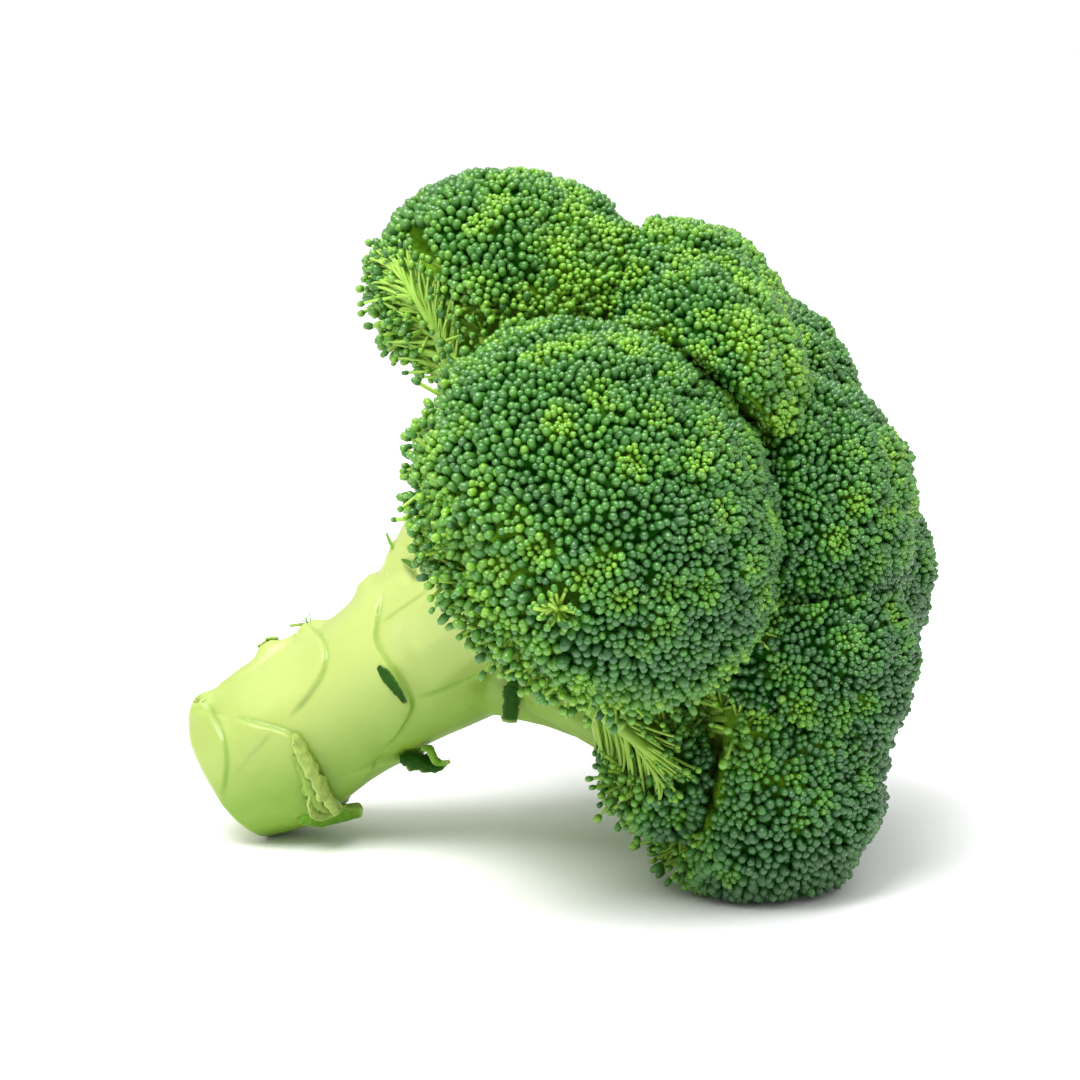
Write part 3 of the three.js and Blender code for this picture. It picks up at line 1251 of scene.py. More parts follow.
class FloretBuilder:
    """Builds one floret: its buds, the depths under them, and the stems of an outer one."""

    crown_base = np.array([0.0, 0.0, 70.0])
    bud_clearance = 0.2
    core_clearance = 1.0
    core_depth = 1.1
    core_under_depth = 3.6
    core_kept = 0.55

    def __init__(self, floret: Floret, layout: Layout, seed: int) -> None:
        """Takes the floret and prepares its surface.

        Args:
            floret: The floret.
            layout: How the plant lies.
            seed: Seed of its random draws.
        """
        self.floret = floret
        self.layout = layout
        self.surface = Surface(floret, layout)
        self.pattern = BudPattern()
        self.tints = BudTints()
        self.fans = FanPattern()
        self.random = np.random.default_rng(seed)
        self.clusters = self._cluster_directions()
        self.youths = self.random.random(len(self.clusters))
        self.grooves = spread_directions(count_on_ball(floret.mean_radius(), self.pattern.groove_pitch))
        self.swells = unit(self.random.normal(size=(self.pattern.swells, 3)))
        self.swell_heights = self.random.normal(0, self.pattern.swell, self.pattern.swells)

    def _cluster_directions(self) -> np.ndarray:
        """Places the clusters round the floret.

        Returns:
            The directions of their middles as rows.
        """
        radius = self.floret.mean_radius()
        count = count_on_ball(radius, self.pattern.cluster_pitch)
        jitter = self.pattern.cluster_jitter * self.pattern.cluster_pitch / radius
        return unit(spread_directions(count) + self.random.normal(0, jitter, (count, 3)))

    def cluster_share(self, directions: np.ndarray) -> tuple[np.ndarray, np.ndarray]:
        """Finds the cluster that each direction is in.

        Args:
            directions: The directions as rows.

        Returns:
            Each one's distance from the cluster's middle, 1 at its edge, and the cluster's youth.
        """
        nearness = directions @ self.clusters.T
        away = np.arccos(np.clip(nearness.max(axis=1), -1, 1)) * self.floret.mean_radius()
        reach = self.pattern.cluster_pitch * self.pattern.cluster_reach
        return away / reach, self.youths[nearness.argmax(axis=1)]

    def _swell(self, directions: np.ndarray) -> np.ndarray:
        """Returns how far the broad swells lift the surface, below 0 in the hollows."""
        spread = np.exp((directions @ self.swells.T - 1) / self.pattern.swell_width**2)
        return spread @ self.swell_heights

    def relief(self, directions: np.ndarray) -> np.ndarray:
        """Measures how far the surface stands out or dips with its clusters.

        Args:
            directions: The directions as rows.

        Returns:
            The relief along each, in millimetres.
        """
        size = self.floret.mean_radius()
        far = np.sort(np.arccos(np.clip(directions @ self.grooves.T, -1, 1)), axis=1)[:, :2] * size
        dip = self.pattern.groove * np.exp((far[:, 0] - far[:, 1]) / self.pattern.groove_width)
        share, youth = self.cluster_share(directions)
        dome = self.pattern.dome * (1 - np.clip(share, 0, 1) ** 2)
        dimple = self.pattern.dimple * youth * np.exp(-((share / self.pattern.dimple_width) ** 2))
        return dome - dimple - dip + self._swell(directions)

    def hollows(self, directions: np.ndarray) -> np.ndarray:
        """Returns 1 for directions in the broad hollows, where fresher green shows, and 0 beside them."""
        return smoothstep(0.1, 0.9, -self._swell(directions))

    def age(self, places: np.ndarray) -> np.ndarray:
        """Returns 0 for places at the top of the crown, rising to 1 at its rim."""
        lean = unit(places - self.crown_base) @ np.array([0.0, 0.0, 1.0])
        return smoothstep(0.75, -0.05, lean)

    def _cluster_spiral(self, index: int) -> tuple[np.ndarray, np.ndarray, np.ndarray]:
        """Lays out one cluster's buds along a spiral whose spacing grows with their width.

        Args:
            index: Which cluster.

        Returns:
            The buds' directions, widths and distances from the cluster's middle as shares of its radius.
        """
        centre = self.clusters[index]
        size = float(self.surface.radius(centre[None])[0])
        age = float(self.age((self.floret.middle + centre * size)[None])[0])
        first = unit(np.cross(centre, self.random.normal(size=3)))
        second = np.cross(centre, first)
        half = self.pattern.cluster_pitch * self.pattern.cluster_reach
        distance, step, rows = 0.25, 0, []
        while distance < half * 1.5:
            share = distance / half
            span = float(self.pattern.spans(np.array(share), self.youths[index], age))
            turn = step * GOLDEN_ANGLE + self.random.normal(0, 0.08)
            away = distance + self.random.normal(0, 0.07)
            rows.append((math.cos(turn) * away, math.sin(turn) * away, span, share))
            room = HEXAGON_SHARE * (span * self.pattern.surplus) ** 2
            distance += room / (2 * math.pi * max(distance, span * 0.5))
            step += 1
        x, y, spans, shares = np.array(rows).T
        return unit(centre * size + np.outer(x, first) + np.outer(y, second)), spans, shares

    def _in_opening(self, directions: np.ndarray) -> np.ndarray:
        """Finds the directions that fall in one of the floret's openings.

        Args:
            directions: The directions as rows.

        Returns:
            A mask of them.
        """
        inside = np.zeros(len(directions), bool)
        for opening in self.floret.openings:
            inside |= opening.away(directions, self.floret.mean_radius()) < opening.radius
        return inside

    def _opening_depth(self, directions: np.ndarray) -> np.ndarray:
        """Measures how deep the floret's openings are.

        Args:
            directions: The directions as rows.

        Returns:
            The depth along each, in millimetres.
        """
        depth = np.zeros(len(directions))
        for opening in self.floret.openings:
            depth += opening.depths(directions, self.floret.mean_radius())
        return depth

    def face_sites(self) -> BudSites:
        """Covers the floret with buds, left out where a neighbour hides them.

        Returns:
            The buds.
        """
        spirals = [self._cluster_spiral(index) for index in range(len(self.clusters))]
        owner = np.concatenate([np.full(len(rows[1]), index) for index, rows in enumerate(spirals)])
        directions, spans, shares = (np.concatenate(parts) for parts in zip(*spirals))
        out = directions @ self.floret.axes()[0]
        egg, reach = self.floret.egg_radius(directions), self.surface.reach(directions)
        nearest = (directions @ self.clusters.T).argmax(axis=1)
        edge = self.floret.close_to if self.floret.outer else self.pattern.inner_edge
        keep = out > edge + self.random.normal(0, self.pattern.edge_scatter, len(out))
        keep &= (nearest == owner) & ~self._in_opening(directions)
        keep &= egg - self.pattern.crevice_depth < reach
        parts = (directions, spans, shares, owner, out)
        directions, spans, shares, owner, out = (part[keep] for part in parts)
        spans = spans * self.random.normal(1.0, self.pattern.span_scatter, len(spans))
        lift = self.relief(directions) + self.random.normal(0, self.pattern.lift_scatter, len(spans))
        places = self.floret.middle + directions * (self.surface.radius(directions) + lift)[:, None]
        places = self.layout.kept_above(places, spans * 1.1 + self.bud_clearance)
        outwards = unit(directions - self.clusters[owner] * 0.999)
        axes = unit(self.floret.normals(directions) + outwards * (self.pattern.splay * shares)[:, None])
        axes = unit(axes + self.random.normal(0, self.pattern.lean_scatter, axes.shape))
        fresh = self.youths[owner] * smoothstep(1.1, 0.1, shares)
        noise = self.random.normal(0, self.tints.scatter, len(spans))
        tints = self.tints.at(fresh, noise, self.hollows(directions), self.layout.heights(places))
        rim = smoothstep(edge + self.pattern.rim, edge, out) * self.floret.outer
        sites = BudSites(places, axes, spans, tints * (1 - self.tints.rim * rim))
        return sites.picked(sites.apart(self.pattern.crowding))

    def fan_nodes(self) -> tuple[np.ndarray, np.ndarray]:
        """Places the small fans of flower stalks.

        Returns:
            Where they start, and their axes.
        """
        out = self.floret.axes()[0]
        directions = spread_directions(count_on_ball(self.floret.mean_radius(), self.fans.pitch))
        directions = unit(directions + self.random.normal(0, self.fans.jitter, directions.shape))
        lean = directions @ out
        keep = (lean > self.fans.lowest) & (lean < self.floret.close_to + self.fans.overlap)
        keep &= self.floret.egg_radius(directions) - self.fans.room < self.surface.reach(directions)
        directions = directions[keep & ~self._in_opening(directions)]
        scatter = self.random.normal(0, 0.15, directions.shape)
        axes = unit(self.floret.normals(directions) + 0.3 * out + scatter)
        tops = self.floret.middle + directions * self.surface.radius(directions)[:, None]
        return tops - axes * self.fans.length * self.fans.sunk, axes

    def fan_buds(self, nodes: np.ndarray, axes: np.ndarray) -> tuple[BudSites, np.ndarray]:
        """Lays a bud at the end of each flower stalk of the fans.

        Args:
            nodes: Where the fans start.
            axes: Their axes.

        Returns:
            The buds, and the node that each one's stalk starts from.
        """
        count = self.fans.count
        tilt = self.fans.spread * np.sqrt((np.arange(count) + 0.5) / count)
        turn = np.arange(count) * GOLDEN_ANGLE
        fan = np.stack([np.sin(tilt) * np.cos(turn), np.sin(tilt) * np.sin(turn), np.cos(tilt)], axis=1)
        side = unit(np.cross(axes, self.random.normal(size=axes.shape)))
        frames = np.stack([side, np.cross(axes, side), axes], axis=1)
        ways = np.einsum("kj,njl->nkl", fan, frames).reshape(-1, 3)
        ways = unit(ways + self.random.normal(0, 0.12, ways.shape))
        total = len(ways)
        lengths = self.fans.length * self.random.uniform(0.85, 1.15, total)
        lengths[self.random.random(total) < self.fans.longer_share] *= self.fans.longer
        feet = np.repeat(nodes, count, axis=0)
        spans = self.random.uniform(self.fans.least_span, self.fans.most_span, total)
        tints = np.clip(self.random.normal(self.fans.tint, self.fans.tint, total), 0, 1)
        sites = BudSites(feet + ways * lengths[:, None], ways, spans, tints)
        high = self.layout.heights(sites.places) > self.fans.clearance
        sites, feet = sites.picked(high), feet[high]
        apart = sites.apart(self.fans.crowding)
        return sites.picked(apart), feet[apart]

    def hub(self) -> np.ndarray:
        """Returns where the branch enters the floret."""
        return self.floret.middle - self.floret.axes()[0] * (self.floret.radii[0] * self.floret.under + 4)

    def lay_sprays(self) -> tuple[list[np.ndarray], list[np.ndarray], BudSites]:
        """Lays the small branches that show in the gaps.

        Returns:
            Paths and their radii in millimetres, and the buds on them.
        """
        paths, radii = [], []
        buds = BudSites(np.empty((0, 3)), np.empty((0, 3)), np.empty(0), np.empty(0))
        for spray in self.floret.sprays:
            more_paths, more_radii, more_buds = spray.lay(self.random)
            paths += more_paths
            radii += more_radii
            buds = buds.joined(more_buds)
        return paths, radii, buds

    def build_buds(self, sites: BudSites, age: BudAge, template: bpy.types.Object) -> bpy.types.Object:
        """Makes the buds of one age.

        Args:
            sites: All the floret's buds.
            age: Which of them to make.
            template: The shape of one.

        Returns:
            The piece.
        """
        chosen = (sites.tints < self.tints.young_below) == (age is BudAge.YOUNG)
        matrix = self.layout.matrix().to_3x3().normalized()
        axes = sites.axes[chosen] @ np.array(matrix).T
        rolls = self.random.random(len(axes)) * math.tau
        upright = Vector((0, 0, 1))
        leans = [upright.rotation_difference(Vector(axis)) for axis in axes]
        spins = [Matrix.Rotation(roll, 3, "Z").to_quaternion() for roll in rolls]
        turns = [(lean @ spin).to_euler() for lean, spin in zip(leans, spins)]
        widths = sites.spans[chosen] * self.random.normal(1.04, 0.04, len(axes))
        lengths = widths * age.value[1] * self.random.normal(1.0, 0.1, len(axes))
        sizes = np.stack([widths, widths, lengths], axis=1) * MM
        values = {"turn": np.array(turns), "size": sizes, "tint": sites.tints[chosen]}
        places = self.layout.to_frame(sites.places[chosen])
        return copies_on_points(f"{self.floret.name}_{age.name.lower()}_buds", places, values, template)

    def build_core(self) -> bpy.types.Object:
        """Makes the closed body under the buds, deeper below the fans of stems and in the openings.

        Returns:
            The piece.
        """
        bm = bmesh.new()
        bmesh.ops.create_icosphere(bm, subdivisions=6, radius=1.0)
        piece = object_from_bmesh(f"{self.floret.name}_core", bm)
        directions = unit(read_points(piece.data))
        edge = self.floret.close_to
        under = smoothstep(edge + 0.1, edge - 0.25, directions @ self.floret.axes()[0]) * self.floret.outer
        opening_depth = self._opening_depth(directions)
        inset = self.core_depth + under * self.core_under_depth + opening_depth
        radius = self.surface.radius(directions) + self.relief(directions) - inset
        points = self.floret.middle + directions * radius[:, None]
        points = self.layout.kept_above(points, self.core_clearance)
        write_points(piece.data, self.layout.to_frame(points))
        share, youth = self.cluster_share(directions)
        # The tint of the depths is painted shade, darkest between the clusters, and fresher at young clusters
        # and in hollows.
        shade = np.clip(share * 1.2 + 1.0 - 1.1 * youth, 0, 1) * (1 - self.hollows(directions))
        write_attribute(piece.data, "tint", shade)
        write_attribute(piece.data, "under", np.maximum(under, np.clip(opening_depth / 9, 0, 1)))
        return thinned(piece, self.core_kept)

    def build_stems(
        self, nodes: np.ndarray, buds: BudSites, feet: np.ndarray, more: list[list[np.ndarray]]
    ) -> bpy.types.Object:
        """Makes the stems from the branch to the fans, the fans' flower stalks and the stalks in the gaps.

        Args:
            nodes: Where the fans start.
            buds: The buds of the fans.
            feet: Where each bud's stalk starts.
            more: Paths of the branches in the gaps, and their radii in millimetres.

        Returns:
            The piece.
        """
        hub = self.hub()
        bundles = spread_directions(self.fans.bundles)
        owner = (unit(nodes - self.floret.middle) @ bundles.T).argmax(axis=1)
        paths, radii = list(more[0]), list(more[1])
        for index in np.unique(owner):
            members = nodes[owner == index]
            fork = hub + self.fans.bundle_reach * (members.mean(axis=0) - hub)
            for node in members:
                paths.append(curved_path(hub, fork, node, self.fans.stem_steps))
                radii.append(np.linspace(self.fans.stem_foot, self.fans.stem_tip, self.fans.stem_steps + 1))
        for foot, tip, axis, span in zip(feet, buds.places, buds.axes, buds.spans):
            paths.append(curved_path(foot, (foot + tip) / 2 - axis * 0.3, tip - axis * span * 0.3, 2))
            radii.append(np.full(3, self.fans.thread))
        paths = [self.layout.to_frame(path) for path in paths]
        piece = tubes(f"{self.floret.name}_stems", paths, radii)
        away = np.linalg.norm(self.layout.to_plant(read_points(piece.data)) - hub, axis=1)
        write_attribute(piece.data, "along", smoothstep(6, self.floret.mean_radius() * 0.9, away))
        return piece


def curved_path(start: np.ndarray, bend: np.ndarray, end: np.ndarray, steps: int) -> np.ndarray:
    """Returns points along a curve that leaves its start towards a bend and turns to its end.

    Args:
        start: The first point.
        bend: The point it turns at, off the curve.
        end: The last point.
        steps: Stretches between points.

    Returns:
        The points as rows.
    """
    share = np.linspace(0, 1, steps + 1)[:, None]
    return start * (1 - share) ** 2 + 2 * bend * share * (1 - share) + end * share**2


def tubes(name: str, paths: list[np.ndarray], radii: list[np.ndarray]) -> bpy.types.Object:
    """Makes round tapering tubes along paths.

    Args:
        name: The piece's name.
        paths: Points in metres.
        radii: The tube's radius in millimetres at each point.

    Returns:
        The piece, one mesh.
    """
    curve = bpy.data.curves.new(name, "CURVE")
    curve.dimensions = "3D"
    curve.bevel_depth = MM
    curve.bevel_resolution = 0
    curve.use_fill_caps = True
    for path, radius in zip(paths, radii):
        spline = curve.splines.new("POLY")
        spline.points.add(len(path) - 1)
        spline.points.foreach_set("co", np.c_[path, np.ones(len(path))].ravel())
        spline.points.foreach_set("radius", radius)
    piece = baked(name, object_from_mesh(f"{name}_curve", curve))
    for polygon in piece.data.polygons:
        polygon.use_smooth = True
    return piece


def bud_template(age: BudAge) -> bpy.types.Object:
    """Makes one closed bud a unit wide, with its longer tip and its shoulders towards +Z.

    Args:
        age: Which shape.

    Returns:
        The bud, to be copied and then taken away.
    """
    segments, _ = age.value
    longer_tip, wider_shoulders = 1.25, 1.14
    bm = bmesh.new()
    bmesh.ops.create_uvsphere(bm, u_segments=segments, v_segments=4, radius=0.5)
    for vertex in bm.verts:
        if vertex.co.z > 0.01:
            vertex.co.z *= longer_tip
        if 0.1 < vertex.co.z < 0.5:
            vertex.co.xy *= wider_shoulders
    piece = object_from_bmesh(f"{age.name.lower()}_bud", bm)
    heights = read_points(piece.data)[:, 2]
    write_attribute(piece.data, "rise", (heights - heights.min()) / np.ptp(heights))
    return piece


def copies_on_points(
    name: str, places: np.ndarray, values: dict[str, np.ndarray], template: bpy.types.Object
) -> bpy.types.Object:
    """Copies a shape to points, turned and sized, as one mesh.

    Args:
        name: The piece's name.
        places: The points in metres.
        values: Attributes of the points, with their turns and sizes.
        template: The shape.

    Returns:
        The piece.
    """
    mesh = bpy.data.meshes.new(f"{name}_points")
    mesh.vertices.add(len(places))
    write_points(mesh, places)
    for key, value in values.items():
        write_attribute(mesh, key, value)
    points = object_from_mesh(f"{name}_points", mesh)
    modifier = points.modifiers.new("copies", "NODES")
    modifier.node_group = copying_group(template)
    piece = baked(name, points)
    bpy.data.node_groups.remove(bpy.data.node_groups["copies_on_points"])
    return piece


def copying_group(template: bpy.types.Object) -> bpy.types.GeometryNodeTree:
    """Returns a geometry node group that puts a copy of a shape on each point.

    Args:
        template: The shape.

    Returns:
        The group.
    """
    group = bpy.data.node_groups.new("copies_on_points", "GeometryNodeTree")
    group.interface.new_socket("Geometry", in_out="INPUT", socket_type="NodeSocketGeometry")
    group.interface.new_socket("Geometry", in_out="OUTPUT", socket_type="NodeSocketGeometry")
    nodes, links = group.nodes, group.links
    shape = nodes.new("GeometryNodeObjectInfo")
    shape.inputs["Object"].default_value = template
    turn, size = nodes.new("GeometryNodeInputNamedAttribute"), nodes.new("GeometryNodeInputNamedAttribute")
    for node, attribute in ((turn, "turn"), (size, "size")):
        node.data_type = "FLOAT_VECTOR"
        node.inputs["Name"].default_value = attribute
    euler = nodes.new("FunctionNodeEulerToRotation")
    copy = nodes.new("GeometryNodeInstanceOnPoints")
    real = nodes.new("GeometryNodeRealizeInstances")
    links.new(nodes.new("NodeGroupInput").outputs["Geometry"], copy.inputs["Points"])
    links.new(shape.outputs["Geometry"], copy.inputs["Instance"])
    links.new(turn.outputs["Attribute"], euler.inputs["Euler"])
    links.new(euler.outputs["Rotation"], copy.inputs["Rotation"])
    links.new(size.outputs["Attribute"], copy.inputs["Scale"])
    links.new(copy.outputs["Instances"], real.inputs["Geometry"])
    links.new(real.outputs["Geometry"], nodes.new("NodeGroupOutput").inputs["Geometry"])
    return group


# Stalk and leaves


def smooth_copy(node: bpy.types.Object, name: str, voxel: float, rounds: int) -> bpy.types.Object:
    """Makes a fine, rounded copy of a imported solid.

    Args:
        node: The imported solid, which is left alone.
        name: The copy's name.
        voxel: Size of its new faces, in millimetres.
        rounds: How often it is smoothed.

    Returns:
        The piece.
    """
    bm = bmesh.new()
    bm.from_mesh(node.data)
    bmesh.ops.remove_doubles(bm, verts=bm.verts, dist=0.01 * MM)
    rough = object_from_bmesh(f"{name}_rough", bm)
    remesh = rough.modifiers.new("remesh", "REMESH")
    remesh.mode = "VOXEL"
    remesh.voxel_size = voxel * MM
    piece = baked(name, rough)
    bm = bmesh.new()
    bm.from_mesh(piece.data)
    for _ in range(rounds):
        bmesh.ops.smooth_vert(
            bm, verts=bm.verts, factor=0.5, use_axis_x=True, use_axis_y=True, use_axis_z=True
        )
    for face in bm.faces:
        face.smooth = True
    bm.to_mesh(piece.data)
    bm.free()
    return piece


@dataclass(frozen=True)
class LeafBase:
    """Where a leaf grew: its height, direction and half width round the stalk, and how far it stands out.

    drop is how much lower its sides are, fade how far down it reaches, and edge how sharp its rim is.
    """

    height: float
    turn: float
    half: float
    step: float
    drop: float = 13.0
    fade: float = 15.0
    edge: float = 0.9

    def relief(self, height: np.ndarray, turn: np.ndarray) -> np.ndarray:
        """Returns how far the base lifts the skin.

        Args:
            height: Places up the stalk.
            turn: Directions round it, in radians.

        Returns:
            The lift in millimetres.
        """
        away = (turn - math.radians(self.turn) + math.pi) % math.tau - math.pi
        across = np.clip(away / math.radians(self.half), -1, 1)
        below = self.height - self.drop * across**2 - height
        rim = smoothstep(-self.edge, 0, below) * (1 - across**4)
        return self.step * rim * np.exp(-np.maximum(below, 0) / self.fade)


@dataclass(frozen=True)
class SkinEdge:
    """Where one layer of skin ends over another: a line through heights and directions round the stalk.

    The points run with a rising direction, and the layer that stands out is the lower one. fade is how far it
    keeps standing out, and sharp half the width of its edge.
    """

    points: tuple[tuple[float, float], ...]
    rise: float = 0.8
    fade: float = 9.0
    sharp: float = 0.35
    cuts: int = 3

    def rounded(self) -> np.ndarray:
        """Rounds the line by cutting its corners off a few times.

        Returns:
            The points as rows.
        """
        line = np.array(self.points, float)
        for _ in range(self.cuts):
            near = 0.75 * line[:-1] + 0.25 * line[1:]
            far = 0.25 * line[:-1] + 0.75 * line[1:]
            line = np.concatenate([line[:1], np.stack([near, far], axis=1).reshape(-1, 2), line[-1:]])
        return line

    def side_distance(self, height: np.ndarray, turn: np.ndarray, radius: np.ndarray) -> np.ndarray:
        """Returns the distance to the line in millimetres, above 0 on the side of the layer that stands out.

        Args:
            height: Places up the stalk.
            turn: Directions round it, in radians.
            radius: Distances from its axis.

        Returns:
            The signed distance.
        """
        nearest = np.full(len(height), np.inf)
        sign = np.ones(len(height))
        middle = math.radians((self.points[0][1] + self.points[-1][1]) / 2)
        turn = (turn - middle + math.pi) % math.tau - math.pi + middle
        line = self.rounded()
        for (low, low_turn), (high, high_turn) in zip(line, line[1:]):
            start = np.stack([(turn - math.radians(low_turn)) * radius, height - low], axis=1)
            round_stalk = math.radians(high_turn - low_turn) * radius
            way = np.stack([round_stalk, np.full_like(radius, high - low)], axis=1)
            share = np.clip((start * way).sum(axis=1) / (way * way).sum(axis=1), 0, 1)
            gap = np.linalg.norm(start - way * share[:, None], axis=1)
            below = way[:, 1] * start[:, 0] - way[:, 0] * start[:, 1] > 0
            sign = np.where(gap < nearest, np.where(below, 1.0, -1.0), sign)
            nearest = np.minimum(nearest, gap)
        return nearest * sign

    def ends(self, height: np.ndarray, turn: np.ndarray, radius: np.ndarray) -> np.ndarray:
        """Fades the edge out at its two ends.

        Args:
            height: Places up the stalk.
            turn: Directions round it, in radians.
            radius: Distances from its axis.

        Returns:
            The fade, 1 along the line and 0 at its ends.
        """
        fade = np.ones(len(height))
        for low, low_turn in (self.points[0], self.points[-1]):
            away = (turn - math.radians(low_turn) + math.pi) % math.tau - math.pi
            fade = np.minimum(fade, smoothstep(0.0, 6.0, np.hypot(away * radius, height - low)))
        return fade

    def relief(
        self, height: np.ndarray, turn: np.ndarray, radius: np.ndarray
    ) -> tuple[np.ndarray, np.ndarray]:
        """Returns how far the layer lifts the skin, and how clearly its edge shows.

        Args:
            height: Places up the stalk.
            turn: Directions round it, in radians.
            radius: Distances from its axis.

        Returns:
            The lift in millimetres, and the edge from 0 to 1.
        """
        side = self.side_distance(height, turn, radius)
        fade = self.ends(height, turn, radius)
        lift = smoothstep(-self.sharp, self.sharp, side) * np.exp(-np.maximum(side, 0) / self.fade)
        line = np.exp(-(((side + self.sharp) / 0.5) ** 2))
        return self.rise * fade * lift - 0.12 * fade * line, fade * line


@dataclass(frozen=True)
class Knob:
    """A hard lump where a leaf stalk broke off, hollow in the middle: its place, width and height."""

    height: float
    turn: float
    width: float
    rise: float

    def relief(self, height: np.ndarray, turn: np.ndarray, radius: np.ndarray) -> np.ndarray:
        """Returns how far the lump lifts the skin.

        Args:
            height: Places up the stalk.
            turn: Directions round it, in radians.
            radius: Distances from its axis.

        Returns:
            The lift in millimetres.
        """
        away = (turn - math.radians(self.turn) + math.pi) % math.tau - math.pi
        distance = np.hypot(height - self.height, away * radius) / self.width
        return self.rise * (np.exp(-(distance**2)) - 0.6 * np.exp(-((distance / 0.35) ** 2)))


@dataclass
class Stalk:
    """The trunk and branches.

    profile holds the trunk's radii at heights above its cut end, and ring is the radius of the ring on that.
    """

    layout: Layout
    voxel: float = 0.5
    rounds: int = 20
    kept: float = 0.4
    ring: float = 11.4
    ring_width: float = 0.9
    profile: tuple[tuple[float, float], ...] = (
        (0, 14.2),
        (1.6, 15),
        (5, 15.8),
        (10, 16.8),
        (15, 16.9),
        (20, 16.2),
        (25, 15.6),
        (30, 15.4),
        (35, 15.6),
        (40, 16.2),
        (45, 16.8),
        (50, 17.6),
        (55, 18.4),
    )
    bases: tuple[LeafBase, ...] = (
        LeafBase(14, 95, 55, 1.2),
        LeafBase(27, 55, 50, 1.3),
        LeafBase(29, 160, 40, 1.4),
        LeafBase(38, -6, 38, 1.4),
        LeafBase(46, 95, 60, 1.3),
    )
    edges: tuple[SkinEdge, ...] = (
        SkinEdge(((6, -162), (9.1, -128), (8.8, -109), (5.3, -95), (0.5, -80)), 0.6, 5.0),
        SkinEdge(
            ((12, -128), (15.5, -117), (21.2, -99.6), (22.6, -88), (22.1, -70), (19.6, -49), (18.2, -10)), 1.3
        ),
        SkinEdge(((31, -186), (36.1, -147), (35.5, -124), (29.1, -112), (21.5, -105)), 0.8),
        SkinEdge(
            ((53, -150), (49.4, -129), (46.6, -115), (47.5, -98), (47.3, -69), (44.1, -61), (34, -42)), 1.0
        ),
        SkinEdge(((66, -117), (56, -122), (48, -129)), 0.35, 5.0),
        SkinEdge(((46, -70), (54, -65), (66, -62)), 0.4, 5.0),
    )
    knobs: tuple[Knob, ...] = (
        Knob(5, -160, 3.2, 3.0),
        Knob(21.7, -184, 2.8, 2.6),
        Knob(31.6, -181, 3.0, 3.2),
        Knob(47.4, -178, 2.8, 2.2),
    )

    def build(self, node: bpy.types.Object) -> bpy.types.Object:
        """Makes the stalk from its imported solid.

        Args:
            node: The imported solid.

        Returns:
            The piece.
        """
        piece = smooth_copy(node, "stalk_skin", self.voxel, self.rounds)
        points = self.layout.to_plant(read_points(piece.data))
        height, radius = points[:, 2], np.hypot(points[:, 0], points[:, 1])
        turn = np.arctan2(points[:, 1], points[:, 0])
        outward = points * np.array([1.0, 1.0, 0.0]) / np.maximum(radius, 1)[:, None]
        on_side = smoothstep(0.3, 1.6, height) * smoothstep(10, 12, radius)
        layers, lines = zip(*(edge.relief(height, turn, radius) for edge in self.edges))
        fine = sum(layers) + sum(knob.relief(height, turn, radius) for knob in self.knobs)
        lift = smoothstep(56, 47, height) * (self._trunk_radius(height, turn) - radius)
        lift += smoothstep(70, 60, height) * fine
        points = self.layout.kept_above(points + outward * (on_side * lift)[:, None], 0.0)
        write_points(piece.data, self.layout.to_frame(points))
        # Greener and darker facing the floor as painted shade, also greener near the cut end and along the
        # skin's edges.
        green = 0.95 * smoothstep(0.45, -0.7, outward @ self.layout.up) + 0.3 * smoothstep(30, 4, height)
        green += 0.45 * np.max(lines, axis=0) * on_side
        cut = smoothstep(0.8, 0.1, points[:, 2])
        write_attribute(piece.data, "green", np.clip(green, 0, 1))
        write_attribute(piece.data, "cut", cut)
        write_attribute(piece.data, "ring", cut * np.exp(-(((radius - self.ring) / self.ring_width) ** 2)))
        return thinned(piece, self.kept)

    def _trunk_radius(self, height: np.ndarray, turn: np.ndarray) -> np.ndarray:
        """Works out the trunk's radius with its leaf bases.

        Args:
            height: Places up the stalk.
            turn: Directions round it, in radians.

        Returns:
            The radius at each place.
        """
        heights, radii = zip(*self.profile)
        steps = np.max([base.relief(height, turn) for base in self.bases], axis=0)
        return np.interp(height, heights, radii) + steps


